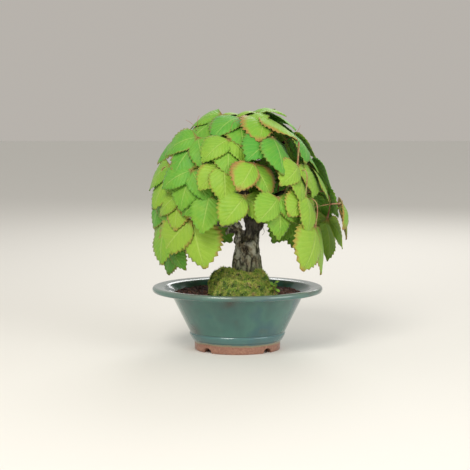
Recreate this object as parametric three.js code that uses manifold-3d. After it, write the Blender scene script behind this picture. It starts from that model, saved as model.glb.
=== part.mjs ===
// A bonsai vine tree with hanging three-part leaves, in an oval glazed pot.
// Millimetres, +Z up, standing on z = 0. Someone facing its front looks along +Y, with +X on their right.
// The origin is under the middle of the tree's head; the pot is set off to the left of it.

import * as THREE from "three";
import { mergeVertices } from "three/addons/utils/BufferGeometryUtils.js";
import Module from "manifold-3d";

const wasm = await Module();
wasm.setup();

// ---- Driving dimensions ----

// Touching pieces keep this much room.
const GAP = 0.3;

// Pot: an oval bowl with a flat lip, on a foot ring with four arches.
const POT_X = -14.5;
const RIM_LENGTH = 236;
const FOOT_LENGTH = 119;
const OVAL = 0.78;
const POT_HEIGHT = 88;
const FOOT_HEIGHT = 13;
const FOOT_RING = 10;
const FLOOR_UNDERSIDE = 9;
const FLOOR = 7;
const BAND_HEIGHT = 11;
const BAND_STEP = 2;
const WALL = 4.5;
const WALL_FOOT_OUT = 6;
const LIP = 17;
const LIP_OVERHANG = 24.5;
const LIP_THICKNESS = 7.5;
const LIP_DIP = 1.4;
const ARCH_RADIUS = 6.5;
const ARCH_ANGLE = 45;
const DRAIN_HOLE = 14;
const DRAIN_TO_FOOT_END = 31.5;

// Drainage screens: squares of plastic mesh over the holes, each held by a bent wire.
const SCREEN_CELLS = 5;
const SCREEN_CELL = 3.8;
const SCREEN_BAR = 1.6;
const SCREEN_THICKNESS = 1.2;
const WIRE = 1.4;
const WIRE_REACH = 12;

// Soil, the moss mound on it and the seedling beside the mound.
const SOIL_BELOW_RIM = 9.5;
const SOIL_CROWN = 3;
const MOSS_TO_LEFT_WALL = 36;
const MOSS_TO_RIGHT_WALL = 45;
const MOSS_TO_BACK_WALL = 40;
const MOSS_HEIGHT = 36;
const SEEDLING_TO_RIGHT_WALL = 41;
const SEEDLING_TO_FRONT_WALL = 27;
const SEEDLING_HEIGHT = 14;

// Tree. The head is the dome of leaf joints; its height is above the soil.
const TRUNK_RADIUS = 19;
const ROOT_DEPTH = 36;
const ROOT_SPREAD = 46;
const HEAD_WIDTH = 232;
const HEAD_DEPTH = 188;
const HEAD_HEIGHT = 244;
const BUD_SPACING = 9;

// Leaves: three blades on one stalk.
const BLADE_LENGTH = 54;
const BLADE_WIDTH = 37;
const BLADE_THICKNESS = 1;
const BLADE_BULGE = 4;
const BLADE_SPREAD = 46;
const PAIR_SPREAD = 30;
const BLADE_FOLD = 2;
const BLADE_TUCK = 5.5;
const SIDE_BLADE = 0.87;
const STALK = 2;
const STALK_STEPS = 4;
const HUB_RADIUS = 1.8;
const PINWHEEL = 15;
const LEAST_WRAP = 60;

// ---- Shared shapes ----

const UP = new THREE.Vector3(0, 0, 1);
const radians = THREE.MathUtils.degToRad;
const point = (x, y, z) => new THREE.Vector3(x, y, z);

// A closed skin over rings of points that run the same way round, with a fan over each end.
function skin(rings) {
  const count = rings[0].length;
  const middle = (ring) => ring.reduce((sum, p) => sum.add(p), point(0, 0, 0)).divideScalar(count);
  const points = [...rings.flat(), middle(rings[0]), middle(rings.at(-1))];
  const start = points.length - 2;
  const end = points.length - 1;
  const top = (rings.length - 1) * count;
  const faces = [];
  for (let i = 0; i < count; i++) {
    const j = (i + 1) % count;
    for (let base = 0; base < top; base += count) {
      faces.push(base + i, base + j, base + count + j, base + i, base + count + j, base + count + i);
    }
    faces.push(start, j, i, end, top + i, top + j);
  }
  return new THREE.BufferGeometry().setFromPoints(points).setIndex(faces);
}

// A round limb along a smooth curve through [x, y, z, radius] stations.
function limb(stations, sides, steps, extra = 0) {
  const curve = new THREE.CatmullRomCurve3(stations.map(([x, y, z]) => point(x, y, z)));
  const rings = [];
  for (let i = 0; i <= steps; i++) {
    const t = i / steps;
    const place = t * (stations.length - 1);
    const k = Math.min(Math.floor(place), stations.length - 2);
    const radius = THREE.MathUtils.lerp(stations[k][3], stations[k + 1][3], place - k) + extra;
    const turn = new THREE.Quaternion().setFromUnitVectors(UP, curve.getTangent(t));
    const ring = [];
    for (let s = 0; s < sides; s++) {
      const a = (2 * Math.PI * s) / sides;
      const arm = point(radius * Math.cos(a), radius * Math.sin(a), 0);
      ring.push(arm.applyQuaternion(turn).add(curve.getPoint(t)));
    }
    rings.push(ring);
  }
  return skin(rings);
}

// Joining and cutting: geometries become solids, and the result becomes a geometry again.
function solid(geometry) {
  const bare = geometry.clone().deleteAttribute("normal").deleteAttribute("uv");
  const merged = mergeVertices(bare, 1e-4);
  const vertProperties = merged.attributes.position.array;
  const triVerts = new Uint32Array(merged.index.array);
  return new wasm.Manifold(new wasm.Mesh({ numProp: 3, vertProperties, triVerts }));
}

function shape(add, cut = []) {
  let whole = add.map(solid).reduce((sum, part) => sum.add(part));
  for (const part of cut.map(solid)) whole = whole.subtract(part);
  const { vertProperties, triVerts } = whole.getMesh();
  const geometry = new THREE.BufferGeometry();
  geometry.setAttribute("position", new THREE.BufferAttribute(vertProperties, 3));
  return geometry.setIndex(new THREE.BufferAttribute(triVerts, 1));
}

const bonsai = new THREE.Group();

function place(name, geometry, color, roughness) {
  const mesh = new THREE.Mesh(geometry, new THREE.MeshStandardMaterial({ color, roughness, metalness: 0 }));
  mesh.name = name;
  bonsai.add(mesh);
}

// ---- Pot ----

const POT_SIDES = 44;
const rimHalf = RIM_LENGTH / 2;
const footHalf = FOOT_LENGTH / 2;
const wallFoot = footHalf + WALL_FOOT_OUT;
const wallTop = rimHalf - LIP_OVERHANG;
const lipUnderside = POT_HEIGHT - LIP_THICKNESS;
const bandTop = FOOT_HEIGHT + BAND_HEIGHT;
const floorTop = FLOOR_UNDERSIDE + FLOOR;
const soilLevel = POT_HEIGHT - SOIL_BELOW_RIM;

// One oval round the pot: `half` is the outer half length at that height, and `inset` goes in evenly from it.
function oval([half, inset, z]) {
  const ring = [];
  for (let s = 0; s < POT_SIDES; s++) {
    const a = (2 * Math.PI * s) / POT_SIDES;
    ring.push(point(POT_X + (half - inset) * Math.cos(a), (half * OVAL - inset) * Math.sin(a), z));
  }
  return ring;
}

// The outer half length of the wall, from its foot at the band up to the lip.
function wallHalf(z) {
  return THREE.MathUtils.mapLinear(z, bandTop, lipUnderside, wallFoot, wallTop);
}

const potBody = skin(
  [
    [footHalf, FOOT_RING, FLOOR_UNDERSIDE],
    [footHalf, FOOT_RING, 0],
    [footHalf, 1, 0],
    [footHalf, 0, 1],
    [footHalf, 0, FOOT_HEIGHT - 1],
    [footHalf + 1.5, 0, FOOT_HEIGHT + 0.5],
    [wallFoot + BAND_STEP, 0, bandTop - 1],
    [wallHalf(bandTop + 1), 0, bandTop + 1],
    [wallTop, 0, lipUnderside],
    [rimHalf, LIP_THICKNESS / 3, lipUnderside],
    [rimHalf, 0.4, lipUnderside + LIP_THICKNESS / 4],
    [rimHalf, 0, lipUnderside + LIP_THICKNESS / 2],
    [rimHalf, 0.9, POT_HEIGHT - LIP_THICKNESS / 5],
    [rimHalf, LIP_THICKNESS / 2.5, POT_HEIGHT],
    [rimHalf, LIP, POT_HEIGHT - LIP_DIP],
    [wallTop, WALL, soilLevel + 0.5],
    [wallHalf(floorTop + 8), WALL, floorTop + 8],
    [wallHalf(floorTop), WALL + 6, floorTop],
  ].map(oval),
);

// The arches run through the foot ring, square to it.
function footArch(angle) {
  const a = radians(angle);
  const arch = new THREE.CylinderGeometry(ARCH_RADIUS, ARCH_RADIUS, 4 * FOOT_RING, 16).rotateZ(Math.PI / 2);
  arch.rotateZ(Math.atan2(Math.sin(a) / OVAL, Math.cos(a)));
  const ring = footHalf - FOOT_RING / 2;
  return arch.translate(POT_X + ring * Math.cos(a), ring * OVAL * Math.sin(a), 0.5);
}

const drainOut = footHalf - DRAIN_TO_FOOT_END;
const drainCentres = [POT_X - drainOut, POT_X + drainOut];

function drainHole(x) {
  const hole = new THREE.CylinderGeometry(DRAIN_HOLE / 2, DRAIN_HOLE / 2, 4 * FLOOR, 16);
  return hole.rotateX(Math.PI / 2).translate(x, 0, floorTop);
}

const archAngles = [ARCH_ANGLE, 180 - ARCH_ANGLE, 180 + ARCH_ANGLE, 360 - ARCH_ANGLE];
place("pot", shape([potBody], [...archAngles.map(footArch), ...drainCentres.map(drainHole)]), 0x4a7b70, 0.3);

// ---- Drainage screens and their wires ----

const screenSide = SCREEN_CELLS * (SCREEN_CELL + SCREEN_BAR) + SCREEN_BAR;
const screenBottom = floorTop + GAP;
const screenTop = screenBottom + SCREEN_THICKNESS;

function screen(x) {
  const cells = [];
  for (let i = 0; i < SCREEN_CELLS; i++) {
    for (let j = 0; j < SCREEN_CELLS; j++) {
      const across = (k) => (k - (SCREEN_CELLS - 1) / 2) * (SCREEN_CELL + SCREEN_BAR);
      const cell = new THREE.BoxGeometry(SCREEN_CELL, SCREEN_CELL, 3 * SCREEN_THICKNESS);
      cells.push(cell.translate(x + across(i), across(j), screenBottom));
    }
  }
  const sheet = new THREE.BoxGeometry(screenSide, screenSide, SCREEN_THICKNESS);
  return shape([sheet.translate(x, 0, screenBottom + SCREEN_THICKNESS / 2)], cells);
}

// Each wire lies over the middle bars of its screen, goes down through two cells and the hole, and folds out
// under the floor of the pot.
function screenWire(x) {
  const leg = SCREEN_CELL + SCREEN_BAR;
  const over = screenTop + GAP + WIRE / 2;
  const under = FLOOR_UNDERSIDE - GAP - WIRE / 2;
  const rod = (length, height, middle, z) => {
    return new THREE.BoxGeometry(length, WIRE, height).translate(x + middle, 0, z);
  };
  const bar = (length, middle, z) => rod(length, WIRE, middle, z);
  const post = (side) => rod(WIRE, over - under + WIRE, side * leg, (over + under) / 2);
  const foot = (side) => bar(WIRE_REACH - leg, (side * (WIRE_REACH + leg)) / 2, under);
  return shape([bar(2 * leg, 0, over), post(-1), post(1), foot(-1), foot(1)]);
}

drainCentres.forEach((x, i) => {
  const side = ["left", "right"][i];
  place("drain_screen_" + side, screen(x), 0x2b2d2c, 0.6);
  place("screen_wire_" + side, screenWire(x), 0x8c8c88, 0.35);
});

// ---- Tree ----

const crownOfSoil = soilLevel + SOIL_CROWN;

// A station in the head: shares of its half width, half depth and height, and the radius of the wood there.
function inHead(x, y, h, radius) {
  return [(x * HEAD_WIDTH) / 2, (y * HEAD_DEPTH) / 2, crownOfSoil + h * HEAD_HEIGHT, radius];
}

const R = TRUNK_RADIUS;
const trunk = [
  [0, 0, crownOfSoil - ROOT_DEPTH, 0.85 * R],
  [0, 0, crownOfSoil - 6, 1.3 * R],
  inHead(0, 0, 0.08, 1.2 * R),
  inHead(-0.01, 0, 0.17, 1.08 * R),
  inHead(-0.015, 0, 0.24, 0.98 * R),
  inHead(-0.02, 0, 0.29, 0.85 * R),
];

// The trunk forks into the leader and the left arm, which ends low down in the stub of a sawn-off branch.
const stub = [inHead(-0.2, -0.01, 0.36, 6), inHead(-0.26, 0, 0.345, 5.5), inHead(-0.33, 0, 0.33, 5)];

const branches = {
  leader: [inHead(0.03, 0, 0.24, 14), inHead(0.045, 0, 0.33, 10.5), inHead(0.04, -0.01, 0.4, 10),
    inHead(-0.03, -0.03, 0.48, 9.5), inHead(-0.05, -0.04, 0.57, 8.5), inHead(-0.02, -0.02, 0.67, 6.5),
    inHead(0.03, 0, 0.78, 4.5), inHead(0.02, 0, 0.9, 3)],
  left: [inHead(-0.06, 0, 0.25, 10), inHead(-0.15, -0.01, 0.32, 8), inHead(-0.22, -0.02, 0.39, 7.5),
    inHead(-0.32, -0.06, 0.48, 6), inHead(-0.46, -0.1, 0.57, 4.5), inHead(-0.62, -0.14, 0.65, 3)],
  lowLeft: [inHead(-0.2, -0.02, 0.36, 7), inHead(-0.28, -0.1, 0.385, 6.5), inHead(-0.38, -0.18, 0.39, 5.5),
    inHead(-0.5, -0.26, 0.43, 4.5), inHead(-0.68, -0.34, 0.49, 3)],
  right: [inHead(0.05, 0, 0.33, 9.5), inHead(0.12, -0.02, 0.375, 7.5), inHead(0.24, -0.06, 0.44, 6),
    inHead(0.4, -0.12, 0.5, 4.5), inHead(0.62, -0.2, 0.54, 3)],
  backLeft: [inHead(-0.18, 0.02, 0.35, 7), inHead(-0.22, 0.22, 0.41, 6), inHead(-0.32, 0.42, 0.47, 4.5),
    inHead(-0.48, 0.56, 0.52, 3)],
  backRight: [inHead(0.04, 0.04, 0.38, 8.5), inHead(0.12, 0.24, 0.45, 6.5), inHead(0.26, 0.4, 0.51, 4.5),
    inHead(0.46, 0.5, 0.55, 3)],
  front: [inHead(-0.05, -0.04, 0.53, 6), inHead(-0.03, -0.2, 0.61, 4.5), inHead(-0.02, -0.4, 0.64, 4),
    inHead(0.02, -0.6, 0.66, 3)],
  back: [inHead(-0.02, 0, 0.6, 6), inHead(0.02, 0.22, 0.66, 4.5), inHead(0.02, 0.44, 0.68, 4),
    inHead(0, 0.62, 0.69, 3)],
  upperLeft: [inHead(0, -0.01, 0.7, 5), inHead(-0.16, -0.06, 0.77, 4), inHead(-0.32, -0.08, 0.82, 3.5),
    inHead(-0.46, -0.06, 0.85, 2.8)],
  upperRight: [inHead(0.02, 0, 0.72, 5), inHead(0.16, 0.02, 0.78, 4), inHead(0.3, 0.02, 0.82, 3.5),
    inHead(0.44, 0, 0.84, 2.8)],
};

const roots = [20, 80, 140, 205, 265, 325].map((angle, i) => {
  const a = radians(angle);
  const reach = ROOT_SPREAD * (i % 2 ? 0.85 : 1);
  const along = (share, depth, radius) => {
    return [share * reach * Math.cos(a), share * reach * OVAL * Math.sin(a), crownOfSoil - depth, radius];
  };
  return [along(0.1, 6, 9), along(0.5, 11, 7), along(0.8, 19, 5), along(1, ROOT_DEPTH * 0.8, 3)];
});

const wood = (extra) => [
  limb(trunk, 14, 12, extra),
  ...roots.map((root) => limb(root, 6, 4, extra)),
];

const boughs = [stub, ...Object.values(branches)].map((stations) => limb(stations, 8, 7));
place("tree", shape([...wood(0), ...boughs]), 0x8f8470, 0.9);

// ---- Soil ----

const soilBody = skin(
  [
    [wallHalf(floorTop), WALL + 6 + GAP, floorTop + GAP],
    [wallHalf(floorTop + 8), WALL + GAP, floorTop + 8 + GAP],
    [wallHalf(soilLevel), WALL + GAP, soilLevel],
    [wallHalf(soilLevel) * 0.6, 0, soilLevel + SOIL_CROWN * 0.7],
    [wallHalf(soilLevel) * 0.25, 0, crownOfSoil],
  ].map(oval),
);

const screenPockets = drainCentres.map((x) => {
  const side = screenSide + 2 * GAP;
  const height = screenTop - floorTop + WIRE + 3 * GAP;
  return new THREE.BoxGeometry(side, side, height).translate(x, 0, floorTop + height / 2);
});

const soilHalf = wallHalf(soilLevel) - WALL - GAP;
const soilHalfDepth = wallHalf(soilLevel) * OVAL - WALL - GAP;
const seedlingX = POT_X + soilHalf - SEEDLING_TO_RIGHT_WALL;
const seedlingY = SEEDLING_TO_FRONT_WALL - soilHalfDepth;

const seedlingStem = (extra) => {
  const stations = [-3, 0, SEEDLING_HEIGHT / 2, SEEDLING_HEIGHT].map((rise, i) => {
    return [seedlingX + i, seedlingY, crownOfSoil + rise, 0.9];
  });
  return limb(stations, 6, 4, extra);
};

place("soil", shape([soilBody], [...screenPockets, ...wood(GAP), seedlingStem(GAP)]), 0x4a2e26, 0.95);

// Pairs of small round leaves up the seedling's stem.
const seedlingLeaves = [0, 1, 2, 3].map((i) => {
  const blade = new THREE.SphereGeometry(3, 8, 5).scale(1.2, 0.8, 0.22);
  blade.translate(3.4, 0, 0).rotateY(radians(-25)).rotateZ(radians(100 * i));
  return blade.translate(seedlingX + 2 + i / 3, seedlingY, crownOfSoil + SEEDLING_HEIGHT * (0.55 + 0.14 * i));
});
place("seedling", shape([seedlingStem(0), ...seedlingLeaves]), 0x86b548, 0.7);

// ---- Moss: one mound round the foot of the trunk, highest on its left and running out to the front ----

const MOSS_SIDES = 28;
const mossHalf = soilHalf - (MOSS_TO_LEFT_WALL + MOSS_TO_RIGHT_WALL) / 2;
const mossHalfDepth = soilHalfDepth - MOSS_TO_BACK_WALL / 2;
const mossX = POT_X + (MOSS_TO_LEFT_WALL - MOSS_TO_RIGHT_WALL) / 2;
const mossY = -MOSS_TO_BACK_WALL / 2;
const mossSteps = [[1, 0], [0.97, 0.18], [0.84, 0.5], [0.66, 0.76], [0.44, 0.94], [0.2, 1]];
const mossRings = mossSteps.map(([share, rise]) => {
  const ring = [];
  for (let s = 0; s < MOSS_SIDES; s++) {
    const a = (2 * Math.PI * s) / MOSS_SIDES;
    const x = mossX - 8 * rise + share * mossHalf * Math.cos(a);
    const y = mossY + share * mossHalfDepth * Math.sin(a);
    ring.push(point(x, y, crownOfSoil + GAP + rise * MOSS_HEIGHT));
  }
  return ring;
});

place("moss", shape([skin(mossRings)], wood(GAP)), 0x7e8b2e, 1);

// ---- Leaves ----

// A repeatable scatter between -1 and 1 for leaf number i.
const scatter = (i, salt) => 2 * ((i * 0.618034 + salt * 0.37) % 1) - 1;

// Leaf joints stand in rings round the head. `height` and `reach` are shares of the head, `lean` moves the ring
// along X, and `hang` is how far the blades dip below level. Each leaf is
// [angle round the head, lift above the ring, step out of the ring, size, whether it has only a pair of blades].
// A pair hangs closer together than three do, one blade lapping the other.
const tiers = {
  crown: {
    height: 0.985, reach: 0.27, lean: -8, hang: 30, size: 0.92,
    leaves: [[-152, 3], [-98, -1], [-38, 2], [22, 0], [84, 2], [146, 0]],
  },
  upper: {
    height: 0.875, reach: 0.65, lean: -13, hang: 50, size: 1,
    leaves: [[-136, 0], [-100, -2], [-54, 1], [-12, 2], [28, -3], [66, 0], [104, 0], [142, 1], [180, 2]],
  },
  middle: {
    height: 0.72, reach: 0.86, lean: -11, hang: 62, size: 0.95,
    leaves: [[-162, -1, -2], [-129, -4, 1], [-103, 4], [-80, 6, 0, 1, true], [-42, 2, 2], [-12, -2, -2], [18, -1],
      [46, 2, 2], [78, -2], [110, 0, -2], [139, -2], [167, -4, -3]],
  },
  lower: {
    height: 0.575, reach: 0.96, lean: -5, hang: 72, size: 0.92,
    leaves: [[-168, 0], [-143, -2, -3], [-116, 0, -6], [-90, 0, 0, 1.15, true], [-67, -3], [-44, -2],
      [-12, -17, 23], [26, -4, -2], [52, -1, -4], [76, -2], [104, 2], [132, -2], [158, 0, -5]],
  },
  skirt: {
    height: 0.445, reach: 1, lean: 0, hang: 78, size: 1.05,
    leaves: [[-134, -3, -8, 1.3, true], [-158, -9, 2, 1.05], [177, -14], [150, -10, 0, 1.05], [120, -16],
      [-38, -13, -3, 1.35, true], [10, -10, -4, 1.05], [49, -9, -10, 1], [-162, -38, -10, 0.8]],
  },
};

// Buds sit along the outer two thirds of every branch.
const buds = Object.values(branches).flatMap((stations) => {
  const curve = new THREE.CatmullRomCurve3(stations.map(([x, y, z]) => point(x, y, z)));
  const count = Math.floor((curve.getLength() * 0.67) / BUD_SPACING);
  return Array.from({ length: count + 1 }, (_, i) => {
    const t = 1 - (i / Math.max(count, 1)) * 0.67;
    const k = Math.min(Math.floor(t * (stations.length - 1)), stations.length - 2);
    const radius = THREE.MathUtils.lerp(stations[k][3], stations[k + 1][3], t * (stations.length - 1) - k);
    return { place: curve.getPoint(t), along: curve.getTangent(t), radius };
  });
});

// Each leaf is one skin: its stalk widens into a six-sided hub at the joint, and a blade grows from each of the
// three outer sides of the hub. A blade is [share of its length, share of its half width] rows out to its tip.
const HUB_SIDES = 6;
const BLADE_ROWS = [[0.09, 0.08], [0.38, 1], [0.75, 0.66]];

function leafSkin({ stalk, joint, down, level, out, scale, wrap, sides, spread, behind }) {
  const points = [];
  const faces = [];
  const add = (p) => points.push(p) - 1;
  const quad = (p, q, r, s) => faces.push(p, q, r, p, r, s);

  const ring = (centre, radius, facing) => {
    const turn = new THREE.Quaternion().setFromUnitVectors(out, facing);
    return Array.from({ length: HUB_SIDES }, (_, i) => {
      const a = (2 * Math.PI * (i - 0.5)) / HUB_SIDES;
      const arm = down.clone().multiplyScalar(radius * Math.cos(a));
      arm.addScaledVector(level, radius * Math.sin(a));
      return add(arm.applyQuaternion(turn).add(centre));
    });
  };
  const rings = [];
  for (let i = 0; i < STALK_STEPS; i++) {
    const t = i / STALK_STEPS;
    rings.push(ring(stalk.getPoint(t), STALK / 2, stalk.getTangent(t)));
  }
  rings.push(ring(joint.clone().addScaledVector(out, -BLADE_THICKNESS / 2), HUB_RADIUS, out));
  const back = rings.at(-1);
  const front = ring(joint.clone().addScaledVector(out, BLADE_THICKNESS / 2), HUB_RADIUS, out);
  const start = add(stalk.getPoint(0));
  const middle = add(joint.clone().addScaledVector(out, BLADE_THICKNESS / 2));

  for (let i = 0; i < HUB_SIDES; i++) {
    const j = (i + 1) % HUB_SIDES;
    faces.push(start, rings[0][j], rings[0][i], middle, front[i], front[j]);
    for (let k = 1; k < rings.length; k++) quad(rings[k - 1][i], rings[k - 1][j], rings[k][j], rings[k][i]);
    const side = i === HUB_SIDES - 1 ? -1 : i;
    if (!sides.includes(side)) {
      quad(back[i], back[j], front[j], front[i]);
      continue;
    }
    const turn = radians(spread * side);
    const along = down.clone().applyAxisAngle(out, turn);
    const across = level.clone().applyAxisAngle(out, turn);
    const length = BLADE_LENGTH * scale * (side ? SIDE_BLADE : 1);
    const width = BLADE_WIDTH * scale * (side ? SIDE_BLADE : 1);
    const spot = (t, w) => {
      const flat = along.clone().multiplyScalar(t * length).addScaledVector(across, (w * width) / 2);
      const aside = flat.dot(level);
      const bulge = BLADE_BULGE * 4 * t * (1 - t) - BLADE_FOLD * Math.abs(w);
      const tuck = behind.includes(side) ? BLADE_TUCK : 0;
      flat.addScaledVector(out, bulge - tuck - (aside * aside) / (2 * wrap)).add(joint);
      const half = out.clone().multiplyScalar(BLADE_THICKNESS / 2);
      return [add(flat.clone().add(half)), add(flat.sub(half))];
    };
    const neck = BLADE_ROWS[0];
    const rows = [
      [[front[i], back[i]], [front[j], back[j]]],
      [spot(neck[0], -neck[1]), spot(neck[0], neck[1])],
      ...BLADE_ROWS.slice(1).map(([t, w]) => [spot(t, -w), spot(t, 0), spot(t, w)]),
      [spot(1, 0)],
    ];
    rows.slice(1).forEach((outer, k) => {
      const inner = rows[k];
      const sheet = (p, q, r) => faces.push(p[0], q[0], r[0], p[1], r[1], q[1]);
      if (outer.length === inner.length) {
        for (let m = 1; m < inner.length; m++) {
          sheet(inner[m - 1], outer[m - 1], outer[m]);
          sheet(inner[m - 1], outer[m], inner[m]);
        }
      } else if (outer.length === 1) {
        for (let m = 1; m < inner.length; m++) sheet(inner[m - 1], outer[0], inner[m]);
      } else {
        sheet(inner[0], outer[0], outer[1]);
        sheet(inner[0], outer[1], inner[1]);
        sheet(inner[1], outer[1], outer[2]);
      }
      quad(inner[0][1], outer[0][1], outer[0][0], inner[0][0]);
      quad(inner.at(-1)[0], outer.at(-1)[0], outer.at(-1)[1], inner.at(-1)[1]);
    });
  }
  return new THREE.BufferGeometry().setFromPoints(points).setIndex(faces);
}

function leaf({ height, reach, lean, hang, size }, entry, number) {
  const [angle, lift, step = 0, ownSize = 1, paired = false] = entry;
  const a = radians(angle);
  const halfWidth = (reach * HEAD_WIDTH) / 2 + step;
  const halfDepth = (reach * HEAD_DEPTH) / 2 + step;
  const tall = crownOfSoil + height * HEAD_HEIGHT + lift;
  const joint = point(lean + halfWidth * Math.cos(a), halfDepth * Math.sin(a), tall);
  const outward = point(Math.cos(a) / halfWidth, Math.sin(a) / halfDepth, 0).normalize();
  const level = UP.clone().cross(outward);
  const dip = radians(hang + 2 * scatter(number, 1));
  const out = UP.clone().applyAxisAngle(level, dip);
  const down = outward.clone().applyAxisAngle(level, dip);
  for (const side of [out, level]) side.applyAxisAngle(down, -radians(PINWHEEL));
  const twist = radians(12 * scatter(number, 2));
  for (const side of [down, level]) side.applyAxisAngle(out, twist);
  const stalk = stalkFromBud(joint);
  const behind = paired ? [1] : number % 3 ? [0] : [-1, 1];
  return leafSkin({
    stalk,
    joint,
    down,
    level,
    out,
    scale: size * ownSize * (1 + 0.07 * scatter(number, 3)),
    wrap: Math.max(LEAST_WRAP, (halfWidth + halfDepth) / 2),
    sides: paired ? [-1, 1] : [-1, 0, 1],
    spread: paired ? PAIR_SPREAD : BLADE_SPREAD,
    behind,
  });
}

// The stalk leaves the nearest free bud square to the wood, then arches over to the joint.
function stalkFromBud(joint) {
  const free = buds.filter((bud) => !bud.taken);
  const bud = free.reduce((best, b) => (b.place.distanceTo(joint) < best.place.distanceTo(joint) ? b : best));
  bud.taken = true;
  const towards = joint.clone().sub(bud.place);
  const sideways = towards.clone().addScaledVector(bud.along, -towards.dot(bud.along)).normalize();
  const foot = bud.place.clone().addScaledVector(sideways, bud.radius + GAP + 0.5);
  const rise = foot.clone().addScaledVector(sideways, 0.12 * towards.length());
  const arch = foot.clone().lerp(joint, 0.55).addScaledVector(UP, 0.08 * towards.length());
  return new THREE.CatmullRomCurve3([foot, rise, arch, joint]);
}

let number = 0;
for (const [tier, ring] of Object.entries(tiers)) {
  ring.leaves.forEach((entry, i) => {
    number += 1;
    place("leaf_" + tier + "_" + String(i + 1).padStart(2, "0"), leaf(ring, entry, number), 0x7cb83a, 0.5);
  });
}

export default bonsai;
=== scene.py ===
"""A small bonsai vine tree with hanging compound leaves, in an oval glazed pot. Metres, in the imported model's frame."""

import math

import bmesh
import bpy
from mathutils import Matrix, Quaternion, Vector, noise
from mathutils.bvhtree import BVHTree


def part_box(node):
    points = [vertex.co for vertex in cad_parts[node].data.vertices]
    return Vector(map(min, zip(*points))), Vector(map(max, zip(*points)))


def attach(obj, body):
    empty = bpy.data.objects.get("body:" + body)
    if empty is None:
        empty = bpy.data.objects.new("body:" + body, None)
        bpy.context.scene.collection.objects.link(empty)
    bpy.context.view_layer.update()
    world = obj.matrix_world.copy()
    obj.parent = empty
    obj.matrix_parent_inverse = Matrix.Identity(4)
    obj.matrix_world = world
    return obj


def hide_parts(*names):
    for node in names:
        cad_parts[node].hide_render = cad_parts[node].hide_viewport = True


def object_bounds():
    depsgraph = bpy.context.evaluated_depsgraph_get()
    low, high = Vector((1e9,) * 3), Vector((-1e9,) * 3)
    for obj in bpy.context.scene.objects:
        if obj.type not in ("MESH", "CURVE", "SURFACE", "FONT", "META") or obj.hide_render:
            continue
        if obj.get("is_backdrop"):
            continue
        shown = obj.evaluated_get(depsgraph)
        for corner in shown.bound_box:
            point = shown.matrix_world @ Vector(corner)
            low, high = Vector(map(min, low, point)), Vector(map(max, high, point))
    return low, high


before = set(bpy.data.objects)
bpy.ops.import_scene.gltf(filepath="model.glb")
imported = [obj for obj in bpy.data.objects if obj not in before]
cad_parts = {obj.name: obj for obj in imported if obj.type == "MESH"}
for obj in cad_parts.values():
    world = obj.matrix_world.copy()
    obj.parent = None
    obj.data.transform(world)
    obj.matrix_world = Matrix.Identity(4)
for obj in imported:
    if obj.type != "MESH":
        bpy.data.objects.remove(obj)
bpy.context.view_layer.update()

# ---- Pot ----
# An oval stoneware bowl pressed in a mould: flat lip, a band low on the wall, and a foot ring cut by four water
# arches. Dipped in a blue-green glaze that breaks brown and grey where it ran thin, with the foot left bare.

MM = 0.001
POT_SIDES = 176
OVAL = 0.78
FOOT_RING = 10
FLOOR_UNDERSIDE = 9
FLOOR_TOP = 16
BAND_BOTTOM = 13
BAND_TOP = 24
WALL = 4.5
LIP = 17
ARCH_RADIUS = 6.5
DRAIN_HOLE = 14
DRAIN_SPACING = 56
FOOT_LENGTH = 119
FOOT_STEP = 6
LIP_OVERHANG = 24.5
LIP_THICKNESS = 7.5

pot_low, pot_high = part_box("pot")
pot_x = (pot_low.x + pot_high.x) / 2 / MM
rim_half = (pot_high.x - pot_low.x) / 2 / MM
pot_height = pot_high.z / MM
foot_half = FOOT_LENGTH / 2
wall_foot = foot_half + FOOT_STEP
wall_top = rim_half - LIP_OVERHANG
lip_under = pot_height - LIP_THICKNESS


def wall_half(z):
    return wall_foot + (wall_top - wall_foot) * (z - BAND_TOP) / (lip_under - BAND_TOP)


def srgb(code):
    """A colour from its hex code, made linear."""
    parts = [int(code[i : i + 2], 16) / 255 for i in (1, 3, 5)]
    return [c / 12.92 if c <= 0.04045 else ((c + 0.055) / 1.055) ** 2.4 for c in parts] + [1]


def feed(tree, node, links):
    """Links or sets a node's inputs, by name, number or order. A node given as a value means its first output."""
    for key, value in links.items() if isinstance(links, dict) else enumerate(links):
        if isinstance(value, bpy.types.Node):
            value = value.outputs[0]
        if isinstance(value, bpy.types.NodeSocket):
            tree.links.new(value, node.inputs[key])
        else:
            node.inputs[key].default_value = value


def add(tree, kind, settings=None, links=()):
    """Adds a node with its settings, where a colour ramp's are its (place, colour) stops, and feeds its inputs."""
    made = tree.nodes.new(kind)
    for name, value in (settings or {}).items():
        if name != "color_ramp":
            setattr(made, name, value)
            continue
        stops = made.color_ramp.elements
        while len(stops) < len(value):
            stops.new(0.5)
        for stop, (place, colour) in zip(stops, value):
            stop.position = place
            stop.color = colour if isinstance(colour, list) else [colour, colour, colour, 1]
    feed(tree, made, links)
    return made


def finish_material(name, **values):
    """A new material with its Principled shader's own sockets set, and its tree."""
    made = bpy.data.materials.new(name)
    made.use_nodes = True
    shader = made.node_tree.nodes["Principled BSDF"]
    for socket, value in values.items():
        shader.inputs[socket.replace("_", " ")].default_value = value
    return made, made.node_tree, shader


def oval_ring(half, inset, z):
    turns = [2 * math.pi * s / POT_SIDES for s in range(POT_SIDES)]
    return [
        Vector((pot_x + (half - inset) * math.cos(a), (half * OVAL - inset) * math.sin(a), z)) * MM for a in turns
    ]


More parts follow.
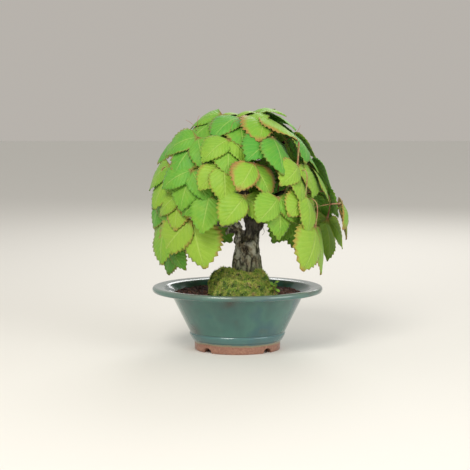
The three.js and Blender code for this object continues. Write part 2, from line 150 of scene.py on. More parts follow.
def skin(rings, name):
    """A closed mesh over rings of points, with a fan over each end."""
    mesh = bpy.data.meshes.new(name)
    form = bmesh.new()
    rows = [[form.verts.new(p) for p in ring] for ring in rings]
    count = len(rings[0])
    for inner, outer in zip(rows, rows[1:]):
        for i in range(count):
            j = (i + 1) % count
            form.faces.new((inner[i], inner[j], outer[j], outer[i]))
    for row, turn in ((rows[0], -1), (rows[-1], 1)):
        middle = form.verts.new(sum((v.co for v in row), Vector()) / count)
        for i in range(count):
            pair = (row[i], row[(i + 1) % count])
            form.faces.new((*pair[::turn], middle))
    bmesh.ops.recalc_face_normals(form, faces=form.faces)
    form.to_mesh(mesh)
    form.free()
    piece = bpy.data.objects.new(name, mesh)
    bpy.context.scene.collection.objects.link(piece)
    return piece


def settle(piece):
    """Turns an object with live modifiers into a plain mesh."""
    bpy.context.view_layer.update()
    evaluated = piece.evaluated_get(bpy.context.evaluated_depsgraph_get())
    mesh = bpy.data.meshes.new_from_object(evaluated)
    piece.modifiers.clear()
    piece.data = mesh
    return piece


def smooth(piece, angle=40):
    piece.data.shade_smooth()
    piece.data.set_sharp_from_angle(angle=math.radians(angle))


wall_lean = [(wall_half(z), 0, z) for z in (27, 34, 44, 54, 64, 72, 77)]
profile = [
    (foot_half, FOOT_RING, FLOOR_UNDERSIDE),
    (foot_half, FOOT_RING + 0.4, FLOOR_UNDERSIDE - 1),
    (foot_half, FOOT_RING, 1),
    (foot_half, FOOT_RING - 0.8, 0),
    (foot_half, 1.4, 0),
    (foot_half, 0.4, 0.4),
    (foot_half, 0, 1.4),
    (foot_half + 0.2, 0, 6),
    (foot_half + 0.4, 0, BAND_BOTTOM - 1.6),
    (foot_half + 0.9, 0, BAND_BOTTOM - 0.7),
    (foot_half + 2.2, 0, BAND_BOTTOM + 0.2),
    (wall_foot - 0.4, 0, BAND_TOP - 5.2),
    (wall_foot + 0.8, 0, BAND_TOP - 2.6),
    (wall_foot + 1.2, 0, BAND_TOP - 1.3),
    (wall_foot + 1.0, 0, BAND_TOP - 0.3),
    (wall_foot + 0.3, 0, BAND_TOP + 0.4),
    (wall_half(BAND_TOP + 1.4), 0, BAND_TOP + 1.4),
    *wall_lean,
    (wall_top - 0.2, 0, lip_under - 1.6),
    (wall_top + 0.6, 0, lip_under - 0.4),
    (wall_top + 2.4, 0, lip_under),
    (rim_half, 9, lip_under - 0.1),
    (rim_half, 3.4, lip_under - 0.2),
    (rim_half, 1.5, lip_under + 0.5),
    (rim_half, 0.4, lip_under + 2),
    (rim_half, 0, lip_under + 3.8),
    (rim_half, 0.4, lip_under + 5.6),
    (rim_half, 1.6, lip_under + 7),
    (rim_half, 3.4, pot_height),
    (rim_half, 6, pot_height - 0.1),
    (rim_half, LIP - 3.5, pot_height - 1),
    (rim_half, LIP - 1, pot_height - 1.5),
    (rim_half, LIP + 0.8, pot_height - 2.6),
    (rim_half, LIP + 2.4, pot_height - 5),
    (wall_top, WALL, pot_height - 9),
    (wall_half(50), WALL, 50),
    (wall_half(FLOOR_TOP + 8), WALL, FLOOR_TOP + 8),
    (wall_half(FLOOR_TOP), WALL + 6, FLOOR_TOP),
]
pot = skin([oval_ring(*station) for station in profile], "pot_bowl")


def drill(name, radius, length, place, direction):
    """A cylinder to cut with, hidden afterwards."""
    mesh = bpy.data.meshes.new(name)
    form = bmesh.new()
    bmesh.ops.create_cone(form, cap_ends=True, segments=40, radius1=radius, radius2=radius, depth=length)
    form.to_mesh(mesh)
    form.free()
    mesh.transform(Vector(direction).to_track_quat("Z", "Y").to_matrix().to_4x4())
    mesh.transform(Matrix.Translation(place))
    cutter = bpy.data.objects.new(name, mesh)
    bpy.context.scene.collection.objects.link(cutter)
    return cutter


drills = []
for angle in (45, 135, 225, 315):
    a = math.radians(angle)
    ring = foot_half - FOOT_RING / 2
    place = Vector((pot_x + ring * math.cos(a), ring * OVAL * math.sin(a), 0.5)) * MM
    drills.append(drill("arch", ARCH_RADIUS * MM, 4 * FOOT_RING * MM, place, (math.cos(a) * OVAL, math.sin(a), 0)))
for side in (-1, 1):
    place = Vector((pot_x + side * DRAIN_SPACING / 2, 0, FLOOR_TOP)) * MM
    drills.append(drill("drain", DRAIN_HOLE / 2 * MM, 40 * MM, place, (0, 0, 1)))
for cutter in drills:
    cut = pot.modifiers.new("cut", "BOOLEAN")
    cut.operation = "DIFFERENCE"
    cut.solver = "EXACT"
    cut.object = cutter
settle(pot)
for cutter in drills:
    bpy.data.objects.remove(cutter)
smooth(pot, 50)

# Glazed stoneware: a thick glossy coat whose colour drifts over hands' breadths and thins to brown on the edges.
# A painted reflection pales the lip top to grey-green. The bare foot is matt, with the grain of the clay.
glazed, tree, shader = finish_material("Glazed stoneware, bare foot", IOR=1.5, Coat_Weight=0.8, Coat_Roughness=0.06)
where = add(tree, "ShaderNodeTexCoord").outputs["Object"]
height = add(tree, "ShaderNodeSeparateXYZ", links={0: where}).outputs["Z"]
drift = add(tree, "ShaderNodeTexNoise", links={"Vector": where, "Scale": 13, "Detail": 3, "Roughness": 0.55})
tall = add(tree, "ShaderNodeMapping", links={"Vector": where, "Scale": (60, 60, 9)}).outputs[0]
runs = add(tree, "ShaderNodeTexNoise", links={"Vector": tall, "Scale": 1, "Detail": 4, "Roughness": 0.6})
glaze = add(
    tree,
    "ShaderNodeValToRGB",
    {
        "color_ramp": [
            (0.33, srgb("#41493F")),
            (0.42, srgb("#38615A")),
            (0.52, srgb("#3C6E63")),
            (0.62, srgb("#335E63")),
            (0.72, srgb("#4A5A4C")),
        ],
    },
    [drift.outputs["Fac"]],
)
streak = add(
    tree,
    "ShaderNodeMath",
    {"operation": "MULTIPLY"},
    [add(tree, "ShaderNodeValToRGB", {"color_ramp": [(0.45, 0.0), (0.75, 1.0)]}, [runs.outputs["Fac"]]), 0.3],
)
glaze = add(tree, "ShaderNodeMix", {"data_type": "RGBA"}, {0: streak, 6: glaze, 7: srgb("#547C6E")}).outputs[2]
# Painted reflection: the top of the lip is paled to grey-green, as if it mirrored the sky.
painted_lip_reflection = add(tree, "ShaderNodeMapRange", links={0: height, 1: (pot_height - 6) * MM, 2: pot_height * MM}).outputs[0]
glaze = add(
    tree,
    "ShaderNodeMix",
    {"data_type": "RGBA"},
    {0: add(tree, "ShaderNodeMath", {"operation": "MULTIPLY"}, [painted_lip_reflection, 0.5]), 6: glaze, 7: srgb("#868F7F")},
).outputs[2]
band_line = add(
    tree, "ShaderNodeMapRange", links={0: height, 1: (BAND_TOP + 2.2) * MM, 2: (BAND_TOP + 0.6) * MM}
).outputs[0]
band = add(tree, "ShaderNodeMath", {"operation": "MULTIPLY"}, [band_line, 0.5])
glaze = add(tree, "ShaderNodeMix", {"data_type": "RGBA"}, {0: band, 6: glaze, 7: srgb("#527A7C")}).outputs[2]
hollow_line = add(
    tree,
    "ShaderNodeMath",
    {"operation": "ADD"},
    [
        add(tree, "ShaderNodeMath", {"operation": "COMPARE"}, [height, (BAND_TOP + 1.6) * MM, 0.6 * MM]),
        add(tree, "ShaderNodeMath", {"operation": "COMPARE"}, [height, (BAND_BOTTOM + 2) * MM, 0.8 * MM]),
    ],
)
glaze = add(
    tree,
    "ShaderNodeMix",
    {"data_type": "RGBA"},
    {0: add(tree, "ShaderNodeMath", {"operation": "MULTIPLY"}, [hollow_line, 0.6]), 6: glaze, 7: srgb("#2B4A47")},
).outputs[2]
clay_grain = add(tree, "ShaderNodeTexNoise", links={"Vector": where, "Scale": 420, "Detail": 3})
clay = add(
    tree,
    "ShaderNodeValToRGB",
    {"color_ramp": [(0.3, srgb("#8A5F4C")), (0.55, srgb("#9C6E59")), (0.75, srgb("#AD8069"))]},
    [clay_grain.outputs["Fac"]],
)
wander = add(tree, "ShaderNodeTexNoise", links={"Vector": where, "Scale": 55, "Detail": 2}).outputs["Fac"]
edge = add(
    tree,
    "ShaderNodeMath",
    {"operation": "ADD"},
    [
        height,
        add(
            tree,
            "ShaderNodeMath",
            {"operation": "MULTIPLY"},
            [add(tree, "ShaderNodeMath", {"operation": "SUBTRACT"}, [wander, 0.5]), 0.005],
        ),
    ],
)
bare = add(
    tree, "ShaderNodeMapRange", links={0: edge, 1: (BAND_BOTTOM + 0.2) * MM, 2: (BAND_BOTTOM - 1.2) * MM}
).outputs[0]
fringe = add(tree, "ShaderNodeMath", {"operation": "COMPARE"}, [edge, (BAND_BOTTOM - 1.1) * MM, 1.4 * MM])
body = add(tree, "ShaderNodeMix", {"data_type": "RGBA"}, {0: bare, 6: glaze, 7: clay}).outputs[2]
body = add(
    tree,
    "ShaderNodeMix",
    {"data_type": "RGBA"},
    {0: add(tree, "ShaderNodeMath", {"operation": "MULTIPLY"}, [fringe, 0.7]), 6: body, 7: srgb("#8F8E70")},
).outputs[2]
feed(tree, shader, {"Base Color": body})
shine = add(tree, "ShaderNodeMapRange", links={0: bare, 3: 0.22, 4: 0.85}).outputs[0]
feed(tree, shader, {"Roughness": shine})
ripple = add(tree, "ShaderNodeBump", links={"Strength": 0.12, "Distance": 0.0006, "Height": drift.outputs["Fac"]})
rough = add(
    tree,
    "ShaderNodeBump",
    links={"Strength": bare, "Distance": 0.0003, "Height": clay_grain.outputs["Fac"], "Normal": ripple.outputs[0]},
)
feed(tree, shader, {"Normal": rough.outputs[0]})
pot.data.materials.clear()
pot.data.materials.append(glazed)
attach(pot, "root")
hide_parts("pot")

# ---- Drainage screens and wires ----
# Squares of moulded black plastic mesh lie over the drain holes, each held by a bent length of aluminium wire.
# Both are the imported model's own pieces, with their finish added.

# Moulded polypropylene: dull black, with brown dust of the soil on it.
mesh_plastic, tree, shader = finish_material("Moulded black polypropylene mesh", Roughness=0.55)
where = add(tree, "ShaderNodeTexCoord").outputs["Object"]
dust = add(tree, "ShaderNodeTexNoise", links={"Vector": where, "Scale": 260, "Detail": 3}).outputs["Fac"]
feed(
    tree,
    shader,
    {
        "Base Color": add(
            tree, "ShaderNodeValToRGB", {"color_ramp": [(0.4, srgb("#1E201F")), (0.7, srgb("#3B332C"))]}, [dust]
        ),
    },
)

# Drawn aluminium: grey metal, dulled unevenly by fine scratches.
drawn_wire, tree, shader = finish_material("Drawn aluminium wire", Metallic=1.0)
where = add(tree, "ShaderNodeTexCoord").outputs["Object"]
scratch = add(tree, "ShaderNodeTexNoise", links={"Vector": where, "Scale": 900, "Detail": 2}).outputs["Fac"]
feed(
    tree,
    shader,
    {
        "Base Color": add(
            tree, "ShaderNodeValToRGB", {"color_ramp": [(0.3, srgb("#8F8F8B")), (0.7, srgb("#B9B9B5"))]}, [scratch]
        ),
    },
)
feed(tree, shader, {"Roughness": add(tree, "ShaderNodeValToRGB", {"color_ramp": [(0.3, 0.3), (0.7, 0.5)]}, [scratch])})

for side in ("left", "right"):
    for name, look in (("drain_screen_", mesh_plastic), ("screen_wire_", drawn_wire)):
        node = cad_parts[name + side]
        node.data.materials.clear()
        node.data.materials.append(look)

# ---- Soil ----
# Gritty potting earth: dark crumbs of baked clay, bark and peat, thrown in loose and settled just below the rim.
# One bumpy bed fills the pot, and separate crumbs lie on it.

soil_low, soil_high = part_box("soil")
SOIL_LEVEL = soil_high.z / MM - 3
BED_SIDES = 120
BED_ROWS = 26
CRUMB_SIZE = 2.6
CRUMBS_PER_M2 = 95000


def new_tree(name, sizes):
    """A geometry tree with a geometry in and out and named sizes, and its input node."""
    made = bpy.data.node_groups.new(name, "GeometryNodeTree")
    made.interface.new_socket(name="Geometry", in_out="OUTPUT", socket_type="NodeSocketGeometry")
    made.interface.new_socket(name="Geometry", in_out="INPUT", socket_type="NodeSocketGeometry")
    for label, value in sizes.items():
        kind = "NodeSocketInt" if isinstance(value, int) else "NodeSocketFloat"
        made.interface.new_socket(name=label, in_out="INPUT", socket_type=kind).default_value = value
    return made, add(made, "NodeGroupInput").outputs


def grow(piece, tree, result, look, sizes):
    """Ends a geometry tree in real meshes with a material, sets its sizes, and makes the piece a plain mesh."""
    real = add(tree, "GeometryNodeRealizeInstances", links={0: result}).outputs[0]
    dressed = add(tree, "GeometryNodeSetMaterial", links={"Geometry": real, "Material": look}).outputs[0]
    add(tree, "NodeGroupOutput", links={0: dressed})
    modifier = piece.modifiers.new("grow", "NODES")
    modifier.node_group = tree
    for item in tree.interface.items_tree:
        if item.in_out == "INPUT" and item.name in sizes:
            modifier[item.identifier] = sizes[item.name]
    return settle(piece)


def wobble(x, y, z, spacing, salt=0.0):
    """Smooth noise between about -1 and 1, with bumps about `spacing` mm apart, at a place in mm."""
    return noise.noise(Vector((x / spacing + salt, y / spacing - salt, z / spacing + 0.3 * salt)))


def bed_point(share, turn):
    half = wall_half(SOIL_LEVEL) + 0.8
    x = pot_x + share * (half - WALL) * math.cos(turn)
    y = share * (half * OVAL - WALL) * math.sin(turn)
    crown = 3.2 * (1 - share) ** 0.6
    z = SOIL_LEVEL + crown + 0.9 * wobble(x, y, 0, 9) + 0.6 * wobble(x, y, 0, 3.5, 5)
    return Vector((x, y, z)) * MM


bed_turns = [2 * math.pi * s / BED_SIDES for s in range(BED_SIDES)]
bed_rings = [
    [
        Vector((pot_x + (half - WALL) * math.cos(a), (half * OVAL - WALL) * math.sin(a), z)) * MM
        for a in bed_turns
    ]
    for half, z in (
        (wall_half(FLOOR_TOP) - 6.3, FLOOR_TOP + 2),
        (wall_half(FLOOR_TOP + 8) - 0.4, FLOOR_TOP + 8.4),
        (wall_half(50) - 0.4, 50),
    )
]
bed_rings += [[bed_point(share, a) for a in bed_turns] for share in [1 - i / BED_ROWS for i in range(BED_ROWS)]]
bed = skin(bed_rings, "soil_bed")
smooth(bed, 180)

# Fired clay grit and bark, damp from watering: matt, pitted, dark red-brown crumbs, each of its own tone.
earth, tree, shader = finish_material("Damp akadama and bark grit", Roughness=0.92)
where = add(tree, "ShaderNodeTexCoord").outputs["Object"]
lumps = add(tree, "ShaderNodeTexVoronoi", links={"Vector": where, "Scale": 330, "Randomness": 1.0})
tone = add(tree, "ShaderNodeSeparateColor", links={0: lumps.outputs["Color"]}).outputs[0]
grit = add(tree, "ShaderNodeTexNoise", links={"Vector": where, "Scale": 900, "Detail": 4}).outputs["Fac"]
crumbs_tone = add(
    tree,
    "ShaderNodeValToRGB",
    {
        "color_ramp": [
            (0.0, srgb("#1D1310")),
            (0.3, srgb("#3A231C")),
            (0.55, srgb("#5A3429")),
            (0.8, srgb("#7A4B40")),
            (0.95, srgb("#A17867")),
        ],
    },
    [tone],
)
feed(
    tree,
    shader,
    {
        "Base Color": add(
            tree,
            "ShaderNodeMix",
            {"data_type": "RGBA"},
            {
                0: add(tree, "ShaderNodeMath", {"operation": "MULTIPLY"}, [grit, 0.5]),
                6: crumbs_tone,
                7: srgb("#1A100D"),
            },
        ).outputs[2],
    },
)
pits = add(tree, "ShaderNodeBump", links={"Strength": 0.8, "Distance": 0.0008, "Height": grit})
feed(tree, shader, {"Normal": pits.outputs[0]})
bed.data.materials.append(earth)
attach(bed, "root")
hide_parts("soil")

tree, sizes = new_tree("Loose crumbs", {"Crumb size": 0.002, "Crumbs per m2": 1000.0, "Seed": 1})
spots = add(
    tree,
    "GeometryNodeDistributePointsOnFaces",
    links={"Mesh": sizes["Geometry"], "Density": sizes["Crumbs per m2"], "Seed": sizes["Seed"]},
)
crumb = add(tree, "GeometryNodeMeshIcoSphere", links={"Radius": 0.5, "Subdivisions": 1}).outputs["Mesh"]
push = add(tree, "ShaderNodeTexNoise", links={"Scale": 2.2, "Detail": 1}).outputs["Color"]
centred = add(tree, "ShaderNodeVectorMath", {"operation": "SUBTRACT"}, {0: push, 1: (0.5, 0.5, 0.5)}).outputs[0]
crumb = add(tree, "GeometryNodeSetPosition", links={"Geometry": crumb, "Offset": centred}).outputs[0]
turn = add(tree, "FunctionNodeRandomValue", {"data_type": "FLOAT_VECTOR"}, {0: (0, 0, 0), 1: (6.3, 6.3, 6.3), 8: 3})
girth = add(tree, "FunctionNodeRandomValue", {"data_type": "FLOAT"}, {2: 0.35, 3: 1.15, 8: 5}).outputs[1]
girth = add(tree, "ShaderNodeMath", {"operation": "MULTIPLY"}, [girth, sizes["Crumb size"]])
heap = add(
    tree,
    "GeometryNodeInstanceOnPoints",
    links={"Points": spots.outputs[0], "Instance": crumb, "Rotation": turn.outputs[0], "Scale": girth},
).outputs[0]
crumb_shares = (0.97, 0.9, 0.8, 0.65, 0.5, 0.35)
crumb_bed = skin([[bed_point(share, a) for a in bed_turns[::2]] for share in crumb_shares], "soil_crumbs")
grow(crumb_bed, tree, heap, earth, {"Crumb size": CRUMB_SIZE * MM, "Crumbs per m2": CRUMBS_PER_M2 * 1.0, "Seed": 4})
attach(crumb_bed, "root")

# ---- Tree ----
# Trunk, limbs and root stubs of one old vine, grown as one piece. The bark is silvery and flakes off in long
# plates between dark cracks; the leader is dark brown, and painted shade darkens it and the forks under the leaves.

WOOD_GRID = 1.15
BARK_PLATE = 7.5
BARK_DEPTH = 2.0
KNOT_DEPTH = 2.4
FORK_HEIGHT = 167
FORK_REACH = 13
ARM_EDGE = 6
ARM_SHIFT = 7.5
DARK_FROM = 177
DARK_FULL = 195
DAMP_FROM = 142
DAMP_FULL = 112

tree_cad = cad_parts["tree"]
wood = bpy.data.objects.new("tree_wood", tree_cad.data.copy())
bpy.context.scene.collection.objects.link(wood)
weld = bmesh.new()
weld.from_mesh(wood.data)
bmesh.ops.remove_doubles(weld, verts=weld.verts, dist=0.00002)
weld.to_mesh(wood.data)
weld.free()
even = wood.modifiers.new("even", "REMESH")
even.mode = "VOXEL"
even.voxel_size = WOOD_GRID * MM
soften = wood.modifiers.new("soften", "SMOOTH")
soften.iterations = 7
# The left arm of the fork leans in towards the right one, most at the height of the fork.
for corner in wood.data.vertices:
    beside = min(max(-corner.co.x / MM / ARM_EDGE - 1, 0), 1)
    above_fork = (corner.co.z / MM - FORK_HEIGHT) / FORK_REACH
    corner.co.x += ARM_SHIFT * MM * beside * math.exp(-(above_fork**2))
settle(wood)

# Old vine bark: pale silvery plates with fine upright fibres, nearly black in the cracks, dark brown up the leader
# with painted shade on it and the forks under the leaves, and green with algae near the soil.
bark, tree, shader = finish_material("Silvery flaking vine bark", Roughness=0.9)
where = add(tree, "ShaderNodeTexCoord").outputs["Object"]
spot = add(tree, "ShaderNodeSeparateXYZ", links={0: where}).outputs
crack = add(tree, "ShaderNodeAttribute", {"attribute_name": "crack"}).outputs["Fac"]
patches = add(tree, "ShaderNodeTexNoise", links={"Vector": where, "Scale": 85, "Detail": 4, "Roughness": 0.6})
fibre_space = add(tree, "ShaderNodeMapping", links={"Vector": where, "Scale": (700, 700, 110)}).outputs[0]
fibre = add(tree, "ShaderNodeTexNoise", links={"Vector": fibre_space, "Scale": 1, "Detail": 3}).outputs["Fac"]
plates = add(
    tree,
    "ShaderNodeValToRGB",
    {
        "color_ramp": [
            (0.34, srgb("#7A6B55")),
            (0.43, srgb("#B5AA90")),
            (0.52, srgb("#E6E0CF")),
            (0.64, srgb("#F7F3E8")),
            (0.8, srgb("#B8AD94")),
        ],
    },
    [patches.outputs["Fac"]],
)
plates = add(
    tree,
    "ShaderNodeMix",
    {"data_type": "RGBA"},
    {0: add(tree, "ShaderNodeMath", {"operation": "MULTIPLY"}, [fibre, 0.28]), 6: plates, 7: srgb("#4A3D2E")},
).outputs[2]
# Partly the leader's own dark brown and partly painted shade: bark above the fork, right of the trunk, darkens under
# the leaves.
uneven = add(tree, "ShaderNodeMath", {"operation": "MULTIPLY_ADD"}, [patches.outputs["Fac"], 0.06, spot["Z"]])
above = add(tree, "ShaderNodeMapRange", links={0: uneven, 1: DARK_FROM * MM, 2: DARK_FULL * MM}).outputs[0]
aside = add(tree, "ShaderNodeMapRange", links={0: spot["X"], 1: -0.009, 2: -0.004}).outputs[0]
leader_dark_and_shade = add(
    tree,
    "ShaderNodeMath",
    {"operation": "MULTIPLY"},
    [add(tree, "ShaderNodeMath", {"operation": "MULTIPLY"}, [above, aside]), 0.85],
)
plates = add(tree, "ShaderNodeMix", {"data_type": "RGBA"}, {0: leader_dark_and_shade, 6: plates, 7: srgb("#33271F")}).outputs[2]
# Partly darker bark up high and partly painted shade: all bark above 170 mm darkens under the leaves.
upper = add(tree, "ShaderNodeMapRange", links={0: spot["Z"], 1: 0.17, 2: 0.2, 4: 0.6}).outputs[0]
plates = add(tree, "ShaderNodeMix", {"data_type": "RGBA"}, {0: upper, 6: plates, 7: srgb("#4A392B")}).outputs[2]
damp = add(tree, "ShaderNodeMapRange", links={0: spot["Z"], 1: DAMP_FROM * MM, 2: DAMP_FULL * MM}).outputs[0]
green = add(tree, "ShaderNodeValToRGB", {"color_ramp": [(0.42, 0.0), (0.52, 1.0)]}, [patches.outputs["Fac"]])
plates = add(
    tree,
    "ShaderNodeMix",
    {"data_type": "RGBA"},
    {
        0: add(
            tree,
            "ShaderNodeMath",
            {"operation": "MULTIPLY"},
            [add(tree, "ShaderNodeMath", {"operation": "MULTIPLY"}, [damp, green]), 0.75],
        ),
        6: plates,
        7: srgb("#6F7A30"),
    },
).outputs[2]
feed(
    tree,
    shader,
    {
        "Base Color": add(
            tree, "ShaderNodeMix", {"data_type": "RGBA"}, {0: crack, 6: plates, 7: srgb("#1D1611")}
        ).outputs[2],
    },
)
grain = add(tree, "ShaderNodeBump", links={"Strength": 0.7, "Distance": 0.0007, "Height": fibre})
feed(tree, shader, {"Normal": grain.outputs[0]})

tree, sizes = new_tree("Flaking bark", {"Plate width": 0.007, "Crack depth": 0.001, "Knot depth": 0.001})
here = add(tree, "GeometryNodeInputPosition").outputs[0]
facing = add(tree, "GeometryNodeInputNormal").outputs[0]
place = add(tree, "ShaderNodeSeparateXYZ", links={0: here}).outputs
sideways = add(tree, "ShaderNodeCombineXYZ", links={0: place[0], 1: place[1]}).outputs[0]
radial = add(tree, "ShaderNodeVectorMath", {"operation": "LENGTH"}, {0: sideways}).outputs["Value"]
stout = add(tree, "ShaderNodeMapRange", links={0: radial, 1: 0.022, 2: 0.055, 3: 1.0, 4: 0.3}).outputs[0]
long_grain = add(tree, "ShaderNodeVectorMath", {"operation": "MULTIPLY"}, {0: here, 1: (1, 1, 0.24)}).outputs[0]
twist = add(tree, "ShaderNodeTexNoise", links={"Vector": here, "Scale": 45, "Detail": 1}).outputs["Color"]
long_grain = add(
    tree, "ShaderNodeVectorMath", {"operation": "MULTIPLY_ADD"}, {0: twist, 1: (0.018, 0.018, 0.012), 2: long_grain}
).outputs[0]
closeness = add(tree, "ShaderNodeMath", {"operation": "DIVIDE"}, [1.0, sizes["Plate width"]])
edges = add(
    tree,
    "ShaderNodeTexVoronoi",
    {"feature": "DISTANCE_TO_EDGE"},
    {"Vector": long_grain, "Scale": closeness, "Randomness": 1.0},
).outputs["Distance"]
gap = add(tree, "ShaderNodeMapRange", links={0: edges, 1: 0.03, 2: 0.2, 3: 1.0, 4: 0.0}).outputs[0]
healed = add(tree, "ShaderNodeTexNoise", links={"Vector": here, "Scale": 110, "Detail": 2}).outputs["Fac"]
gap = add(
    tree,
    "ShaderNodeMath",
    {"operation": "MULTIPLY"},
    [gap, add(tree, "ShaderNodeMapRange", links={0: healed, 1: 0.32, 2: 0.5}).outputs[0]],
)
strips = add(tree, "ShaderNodeTexNoise", links={"Vector": long_grain, "Scale": 170, "Detail": 3}).outputs["Fac"]
split = add(tree, "ShaderNodeMapRange", links={0: strips, 1: 0.49, 2: 0.4}).outputs[0]
gap = add(tree, "ShaderNodeMath", {"operation": "MAXIMUM"}, [gap, split])
knots = add(tree, "ShaderNodeTexNoise", links={"Vector": here, "Scale": 62, "Detail": 2}).outputs["Fac"]
knots = add(
    tree,
    "ShaderNodeMath",
    {"operation": "SUBTRACT"},
    [add(tree, "ShaderNodeMath", {"operation": "MULTIPLY_ADD"}, [strips, 0.5, knots]), 0.75],
)
swell = add(
    tree,
    "ShaderNodeMath",
    {"operation": "MULTIPLY"},
    [knots, add(tree, "ShaderNodeMath", {"operation": "MULTIPLY"}, [sizes["Knot depth"], 2.0])],
)
dip = add(tree, "ShaderNodeMath", {"operation": "MULTIPLY"}, [gap, sizes["Crack depth"]])
rise = add(
    tree,
    "ShaderNodeMath",
    {"operation": "MULTIPLY"},
    [add(tree, "ShaderNodeMath", {"operation": "SUBTRACT"}, [swell, dip]), stout],
)
push = add(tree, "ShaderNodeVectorMath", {"operation": "SCALE"}, {0: facing, "Scale": rise}).outputs[0]
barked = add(tree, "GeometryNodeSetPosition", links={"Geometry": sizes["Geometry"], "Offset": push}).outputs[0]
barked = add(
    tree,
    "GeometryNodeStoreNamedAttribute",
    {"data_type": "FLOAT", "domain": "POINT"},
    {"Geometry": barked, "Name": "crack", "Value": add(tree, "ShaderNodeMath", {"operation": "MULTIPLY"}, [gap, 0.9])},
).outputs[0]
grow(
    wood,
    tree,
    barked,
    bark,
    {"Plate width": BARK_PLATE * MM, "Crack depth": BARK_DEPTH * MM, "Knot depth": KNOT_DEPTH * MM},
)
wood.data.shade_smooth()
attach(wood, "root")
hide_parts("tree")

# ---- Moss ----
# Cushion moss laid over the roots when the tree was potted, since grown into a heap of cushions that climbs the
# right of the trunk. Thousands of short shoots, yellow-green, deep green and straw where the tips have dried.

SHOOT_LENGTH = 4.6
SHOOTS_IN_TUFT = 5
MOSS_GRID = 1.6
SHOOTS_PER_M2 = 430000
# Cushions as (x and y from the middle of the moss, radius, height above the soil).
cushions = [
    (-16, 4, 13, 36), (-5, -1, 15, 35), (8, -5, 16, 31), (21, -6, 16, 28), (35, -3, 11, 36), (46, -8, 8, 12),
    (-22, -8, 9, 25), (-11, -19, 13, 24), (3, -24, 13, 22), (18, -22, 14, 20), (33, -17, 11, 17), (36, -6, 9, 26),
    (-22, 16, 11, 30), (-10, 27, 16, 30), (9, 31, 14, 30), (30, 24, 13, 31), (-19, -27, 8, 11), (-4, -36, 9, 12),
    (12, -36, 9, 10), (44, 9, 9, 13), (26, -31, 8, 9), (50, -16, 6, 6), (39, -25, 6, 7),
]
moss_low, moss_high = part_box("moss")
moss_x = (moss_low.x + moss_high.x) / 2 / MM
moss_y = (moss_low.y + moss_high.y) / 2 / MM
heap = bmesh.new()
for x, y, radius, tall in cushions:
    place = Matrix.Translation(Vector((moss_x + x, moss_y + y, SOIL_LEVEL)) * MM)
    swell = Matrix.Diagonal((radius * MM, radius * MM, tall * MM, 1))
    bmesh.ops.create_icosphere(heap, subdivisions=4, radius=1, matrix=place @ swell)
for corner in heap.verts:
    x, y, z = corner.co / MM
    push = 3.4 * wobble(x, y, z, 11, 3) + 2.6 * wobble(x, y, z, 4.5, 9)
    away = Vector((x - moss_x, y - moss_y, z - SOIL_LEVEL)).normalized()
    corner.co += away * push * MM
    corner.co.z = max(corner.co.z, (SOIL_LEVEL - 1.5) * MM)
mound = bpy.data.objects.new("moss_mound", bpy.data.meshes.new("moss_mound"))
heap.to_mesh(mound.data)
heap.free()
bpy.context.scene.collection.objects.link(mound)
even = mound.modifiers.new("even", "REMESH")
even.mode = "VOXEL"
even.voxel_size = MOSS_GRID * MM
settle(mound)
mound.data.shade_smooth()

# Living moss: soft and matt, with painted shade dark down between its shoots, and deep green to yellow-green and straw
# on top.
cushion, tree, shader = finish_material("Cushion moss", Roughness=0.95, Sheen_Weight=0.25)
where = add(tree, "ShaderNodeTexCoord").outputs["Object"]
tint = add(tree, "ShaderNodeAttribute", {"attribute_name": "tint"}).outputs["Fac"]
clumps = add(tree, "ShaderNodeTexNoise", links={"Vector": where, "Scale": 130, "Detail": 4, "Roughness": 0.75})
clumps = add(tree, "ShaderNodeMapRange", links={0: clumps.outputs["Fac"], 1: 0.3, 2: 0.7}).outputs[0]
blend = add(
    tree,
    "ShaderNodeMath",
    {"operation": "ADD"},
    [
        add(tree, "ShaderNodeMath", {"operation": "MULTIPLY"}, [tint, 0.4]),
        add(tree, "ShaderNodeMath", {"operation": "MULTIPLY"}, [clumps, 0.6]),
    ],
)
moss_colour = add(
    tree,
    "ShaderNodeValToRGB",
    {
        "color_ramp": [
            (0.12, srgb("#2F4A1A")),
            (0.3, srgb("#5F8A2E")),
            (0.46, srgb("#9CC040")),
            (0.6, srgb("#C9CE58")),
            (0.74, srgb("#E2D283")),
            (0.88, srgb("#8C6238")),
        ],
    },
    [blend],
)
# Painted shade: each shoot darkens towards its base, where the shoots shade one another.
height = add(tree, "ShaderNodeAttribute", {"attribute_name": "up_shoot"}).outputs["Fac"]
painted_shade_toward_base = add(tree, "ShaderNodeMapRange", links={0: height, 1: 0.05, 2: 0.6}).outputs[0]
feed(
    tree,
    shader,
    {
        "Base Color": add(
            tree, "ShaderNodeMix", {"data_type": "RGBA"}, {0: painted_shade_toward_base, 6: srgb("#2B3216"), 7: moss_colour}
        ).outputs[2],
    },
)

